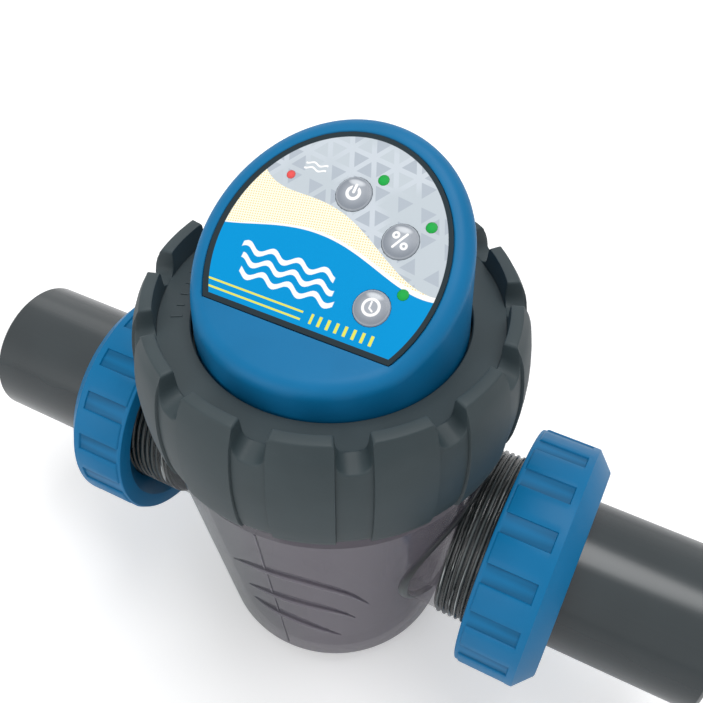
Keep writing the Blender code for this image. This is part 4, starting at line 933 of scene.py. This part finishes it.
def keypadFinish():
    look = keypadLook
    finish = Finish("keypad_print", specular_IOR_level=0.08)
    x, y, z = finish.parts(finish.place())
    x = x * 1000
    up = (y - panelY) * (1000 * math.cos(panelSlope)) + (z - panelZ) * (1000 * math.sin(panelSlope))
    low = curveThrough(finish, x, [(-41.4, 0.7), (-13.2, 7.2), (7.8, 5.4), (28.7, -1.2), (41.2, -2.2)])
    high = curveThrough(finish, x, [(-36.0, 25.6), (-20.0, 19.6), (-4.8, 18.4), (9.4, 12.8), (24.5, 4.1), (40.5, -0.6)])
    inBlue = (low - up).step(-0.08, 0.08)
    inGrey = (up - high).step(-0.08, 0.08)
    # cream field with rows of fine dots
    dotX = (x + up * 0.18) % 0.95 - 0.475
    dotU = (up - x * 0.18) % 0.95 - 0.475
    dots = (dotX * dotX + dotU * dotU) < 0.055
    cream = finish.mix(dots, look["cream"], look["dot"])
    # grey field with a lattice of triangles between pale bands
    turn = math.radians(look["gridTurn"])
    height = look["gridSide"] * math.sqrt(0.75)
    across = (x * math.cos(turn) + up * math.sin(turn)) / height
    rise = (up * math.cos(turn) - x * math.sin(turn)) / height
    families = [across, across * 0.5 + rise * math.sqrt(0.75), across * 0.5 - rise * math.sqrt(0.75) + 40.0]
    shares = [family % 1 for family in families]
    cells = [family - share for family, share in zip(families, shares)]
    near = [0.5 - abs(share - 0.5) for share in shares]
    inside = near[0].smaller(near[1]).smaller(near[2]).step(look["band"] - 0.012, look["band"] + 0.012)
    spot = finish.node("CombineXYZ", None, dict(enumerate(cells)))
    pick = finish.node("TexWhiteNoise", {"noise_dimensions": "3D"}, {"Vector": spot})
    patch = finish.noise(42.0, 1.0).step(0.40, 0.56)
    grey = finish.mix((1 - inside) * patch, look["grey"], look["greyPale"])
    grey = finish.mix(inside * (pick < 0.62), grey, look["greyDark"])
    field = finish.mix(inBlue, finish.mix(inGrey, cream, grey), look["blue"])
    # white line that widens to the right along the edge of the blue field
    width = 0.3 + (x + 42).larger(0) * 0.018
    line = (up - low).step(-0.08, 0.08) * (low + width - up).step(-0.08, 0.08)
    field = finish.mix(line, field, look["white"])
    # three short waves in the blue field
    waves = None
    for shift in (0.0, -4.6, -9.2):
        wave = finish.node("Math", {"operation": "SINE"}, {0: x * 0.62 + 0.4})
        gap = abs(up + 5.0 - shift - wave * 1.3)
        reach = abs(x + 12.0 + shift * 0.35).step(18.6, 18.2)
        band = gap.step(1.10, 0.88) * reach
        waves = band if waves is None else waves.larger(band)
    field = finish.mix(waves, field, look["white"])
    # yellow lines along the bottom, and a row of ticks beside them
    stripes = (abs(up + 20.1).step(0.42, 0.30)).larger(abs(up + 22.8).step(0.42, 0.30)) * (x < 1.0)
    ticks = abs((x + 0.2) % 3.2 - 1.6).step(0.62, 0.50) * abs(up + 21.4).step(1.9, 1.75)
    ticks = ticks * (x > 4.2) * (x < 29.6)
    field = finish.mix(stripes.larger(ticks), field, look["stripe"])
    # small wave beside the red light
    sign = finish.node("Math", {"operation": "SINE"}, {0: x * 1.25})
    signs = abs(up - 29.6 - sign * 0.45).step(0.42, 0.30).larger(abs(up - 31.6 - sign * 0.45).step(0.42, 0.30))
    field = finish.mix(signs * abs(x + 17.6).step(4.3, 4.1), field, look["white"])
    # dark border
    insetX = look["acrossHalf"] - look["borderWidth"]
    insetU = look["alongHalf"] - look["borderWidth"]
    aside = (x - look["shift"]) / insetX
    out = aside * aside + (up / insetU) * (up / insetU)
    border = out.step(0.996, 1.004)
    border = border.larger((up - look["chord"]).step(look["borderWidth"] + 0.1, look["borderWidth"] - 0.1))
    field = finish.mix(border, field, look["border"])
    grain = finish.noise(1800.0, 2.0)
    finish.set(base_color=field, roughness=0.42 + grain * 0.1)
    finish.set(normal=finish.bump(border, 0.00006, 0.5, finish.bump(grain, 0.00001, 0.5)))
    return finish


def keyFinish(name, symbol):
    # domed key under clear film, with a white symbol, painted shade towards its rim, a paler band at the very rim and a
    # painted highlight near its top
    finish = Finish(name, specular_IOR_level=0.5)
    x, y, z = finish.parts(finish.place())
    x, y = x * 1000, y * 1000
    out = (x * x + y * y) ** 0.5
    # painted shade: the dome darkens from its middle towards the rim
    body = finish.mix(out.step(1.5, 5.8), rgb(166, 172, 181), rgb(132, 139, 149))
    # painted highlight near the top of the dome
    glint = ((x + 0.3) * (x + 0.3) * 0.16 + (y - 4.0) * (y - 4.0)).step(2.2, 0.1)
    body = finish.mix(glint, body, rgb(206, 211, 217))
    body = finish.mix(out.step(5.75, 6.1), body, rgb(158, 164, 172))
    finish.set(base_color=finish.mix(symbol(finish, x, y, out), body, rgb(250, 250, 250)))
    finish.set(roughness=0.28 + finish.noise(900.0) * 0.1, normal=finish.bump(finish.noise(1500.0), 0.00001, 0.4))
    return finish


def strokeTo(x, y, start, end, half):
    # a straight stroke between two points
    run, rise = end[0] - start[0], end[1] - start[1]
    share = ((x - start[0]) * run + (y - start[1]) * rise) / (run * run + rise * rise)
    share = share.larger(0).smaller(1)
    offX, offY = x - start[0] - share * run, y - start[1] - share * rise
    return ((offX * offX + offY * offY) ** 0.5).step(half + 0.07, half - 0.07)


def powerSign(finish, x, y, out):
    ring = abs(out - 2.2).step(0.66, 0.50)
    gap = (y > 0.6) * (abs(x) < 1.1)
    return (ring * (1 - gap)).larger(strokeTo(x, y, (0, 0.3), (0, 3.1), 0.52))


def shareSign(finish, x, y, out):
    marks = strokeTo(x, y, (-1.6, -2.8), (1.6, 2.8), 0.44)
    for side in (-1, 1):
        offX, offY = x - side * 2.0, y + side * 1.5
        ring = abs((offX * offX + offY * offY) ** 0.5 - 0.95).step(0.50, 0.36)
        marks = marks.larger(ring)
    return marks


def clockSign(finish, x, y, out):
    ring = abs(out - 2.8).step(0.56, 0.42)
    hands = strokeTo(x, y, (-0.4, 1.8), (-0.4, -0.5), 0.32).larger(strokeTo(x, y, (-0.4, -0.5), (0.9, -1.3), 0.32))
    return ring.larger(hands)


def dome(radius, rise, low, steps, flange=0.0, flangeTop=0.0, flangeLow=0.0):
    profile = [(radius * 0.45, low)] if flange else [(radius, low)]
    if flange:
        profile += [(radius * 0.45, flangeLow), (radius + flange, flangeLow)]
        profile += [(radius + flange, flangeTop), (radius, flangeTop)]
    edge = min(0.0004, rise * 0.4)
    profile += [(radius, -edge), (radius - edge * 0.3, edge * 0.5)]
    for step in range(1, 9):
        bend = math.pi / 2 * step / 9
        height = edge * 0.5 + (rise - edge * 0.5) * math.sin(bend)
        profile.append(((radius - edge * 0.3) * math.cos(bend) ** 0.8, height))
    profile.append((radius * 0.02, rise))
    return turned(profile, steps, closed=False)


keySize = {"radius": 0.00655, "rise": 0.0012, "flange": 0.0013, "flangeTop": -0.0010, "flangeLow": -0.0019,
           "low": -0.0050}
keys = {
    "power_button": ((-0.0002, 0.0251), powerSign),
    "output_button": ((0.0223, 0.0140), shareSign),
    "timer_button": ((0.0225, -0.0109), clockSign),
}
for name, (spot, symbol) in keys.items():
    size = keySize
    shape = dome(size["radius"], size["rise"], size["low"], 64, size["flange"], size["flangeTop"], size["flangeLow"])
    key = loose(name + "_cap", shape)
    key.matrix_world = panelPlace @ Matrix.Translation((*spot, 0))
    addPiece(key, keyFinish(name.replace("button", "key"), symbol), name, [name])

lamps = {
    "red_lens": ((-0.0252, 0.0251), 0.0014, rgb(222, 84, 82)),
    "green_lens_1": ((0.0077, 0.0332), 0.0018, rgb(24, 160, 66)),
    "green_lens_2": ((0.0303, 0.0221), 0.0018, rgb(24, 160, 66)),
    "green_lens_3": ((0.0306, -0.0031), 0.0018, rgb(24, 160, 66)),
}
for name, (spot, radius, colour) in lamps.items():
    finish = Finish(name + "_tint", specular_IOR_level=0.2)
    x, y, z = finish.parts(finish.place())
    glow = ((x * x + y * y) ** 0.5 / radius).step(1.0, 0.2)
    bright = tuple(min(1, part * 1.15) for part in colour[:3]) + (1.0,)
    finish.set(base_color=finish.mix(glow, colour, bright), roughness=0.35 + glow * 0.05)
    finish.set(normal=finish.bump(finish.noise(3000.0), 0.00001, 0.3))
    lens = loose(name + "_cap", dome(radius + 0.0002, 0.0002, -0.0060, 40))
    lens.matrix_world = panelPlace @ Matrix.Translation((*spot, 0))
    addPiece(lens, finish, "head", [name])
nodes["keypad_panel"].data.materials.clear()
nodes["keypad_panel"].data.materials.append(keypadFinish().material)
print("keypad made")


# solids that stay, with their finish

kept = {
    "ring": (ringFinish, ["cell_cap"]),
    "black": (blackFinish, ["cable_gland", "gland_nut", "gland_lock_nut", "plate_holder", "plate_comb", "power_module",
                            "power_switch", "output_switch", "timer_switch", "left_lead"]),
    "rubber": (rubberFinish, ["cap_seal", "head_seal", "left_union_seal", "right_union_seal", "gland_seal"]),
    "plates": (plateFinish, ["electrode_plate_%d" % (plate + 1) for plate in range(7)]),
    "rods": (postFinish, ["left_post", "right_post"]),
    "steel": (steelFinish, ["left_post_nut", "right_post_nut", "water_sensor"]
              + ["head_screw_%d" % (screw + 1) for screw in range(4)]
              + ["board_screw_%d" % (screw + 1) for screw in range(4)]),
    "board": (copperBoard, ["circuit_board"]),
    "red": (redLead, ["right_lead"]),
}
for finish, names in kept.values():
    for name in names:
        nodes[name].data.materials.clear()
        nodes[name].data.materials.append(finish.material)
print("inner solids finished")


# room, light and camera

roomLook = {"floor": rgb(250, 250, 250), "floorGlow": 0.30, "sky": 0.60, "top": 13.0, "fill": 6.0, "back": 1.0}


def makeFloor():
    mesh = bpy.data.meshes.new("studio_floor")
    steps = 12
    points, faces = [], []
    for row in range(steps + 1):
        for column in range(steps + 1):
            points.append(((column / steps - 0.5) * 12, (row / steps - 0.5) * 12, -0.0002))
    for row in range(steps):
        for column in range(steps):
            first = row * (steps + 1) + column
            faces.append((first, first + 1, first + steps + 2, first + steps + 1))
    mesh.from_pydata(points, [], faces)
    floor = bpy.data.objects.new("studio_floor", mesh)
    bpy.context.scene.collection.objects.link(floor)
    finish = Finish("studio_floor", roughness=0.9, specular_IOR_level=0.1)
    seen = finish.node("LightPath")
    finish.set(base_color=finish.mix(finish.noise(3.0), roomLook["floor"], rgb(247, 247, 248)))
    finish.set(emission_color=(1.0, 1.0, 1.0, 1.0), emission_strength=seen * roomLook["floorGlow"])
    mesh.materials.append(finish.material)


def makeWorld():
    world = bpy.data.worlds.new("studio")
    bpy.context.scene.world = world
    world.use_nodes = True
    tree = world.node_tree
    sky = tree.nodes["Background"]
    path = tree.nodes.new("ShaderNodeLightPath")
    seen = path.outputs["Is Camera Ray"]
    for ray in ("Is Transmission Ray", "Is Glossy Ray"):
        pick = tree.nodes.new("ShaderNodeMath")
        pick.operation = "MAXIMUM"
        tree.links.new(seen, pick.inputs[0])
        tree.links.new(path.outputs[ray], pick.inputs[1])
        seen = pick.outputs[0]
    level = tree.nodes.new("ShaderNodeMapRange")
    tree.links.new(seen, level.inputs["Value"])
    level.inputs["To Min"].default_value = roomLook["sky"]
    level.inputs["To Max"].default_value = 1.0
    tree.links.new(level.outputs[0], sky.inputs["Strength"])
    sky.inputs["Color"].default_value = (1.0, 1.0, 1.0, 1.0)


def addLight(name, spot, aim, size, power):
    light = bpy.data.lights.new(name, "AREA")
    light.shape, light.size, light.size_y, light.energy = "RECTANGLE", size[0], size[1], power
    item = bpy.data.objects.new(name, light)
    item.location = spot
    item.rotation_euler = (Vector(aim) - Vector(spot)).to_track_quat("-Z", "Y").to_euler()
    bpy.context.scene.collection.objects.link(item)


def makeCamera():
    back = Vector((0.30639, -0.60268, 0.73681)).normalized()
    turn = math.radians(26.95)
    right = Vector((math.cos(turn), math.sin(turn), 0.0))
    up = back.cross(right)
    roll = math.radians(0.25)
    level = right * math.cos(roll) + up * math.sin(roll)
    top = up * math.cos(roll) - right * math.sin(roll)
    lens = bpy.data.cameras.new("camera")
    lens.lens, lens.sensor_width, lens.clip_start = 44.43, 36.0, 0.01
    camera = bpy.data.objects.new("camera", lens)
    camera.matrix_world = Matrix((
        (level.x, top.x, back.x, 0.10915), (level.y, top.y, back.y, -0.19883), (level.z, top.z, back.z, 0.41518),
        (0, 0, 0, 1)))
    bpy.context.scene.collection.objects.link(camera)
    bpy.context.scene.camera = camera


makeFloor()
makeWorld()
addLight("top", (0.15, 0.20, 1.75), (0, 0, 0.10), (1.2, 0.8), roomLook["top"])
addLight("fill", (-0.6, -1.5, 0.7), (0, 0, 0.12), (1.2, 1.0), roomLook["fill"])
addLight("back", (-1.0, 1.0, 0.97), (-0.14, 0, 0.09), (0.8, 0.6), roomLook["back"])
makeCamera()
bpy.context.scene.view_settings.view_transform = "Standard"
print("room, light and camera made")
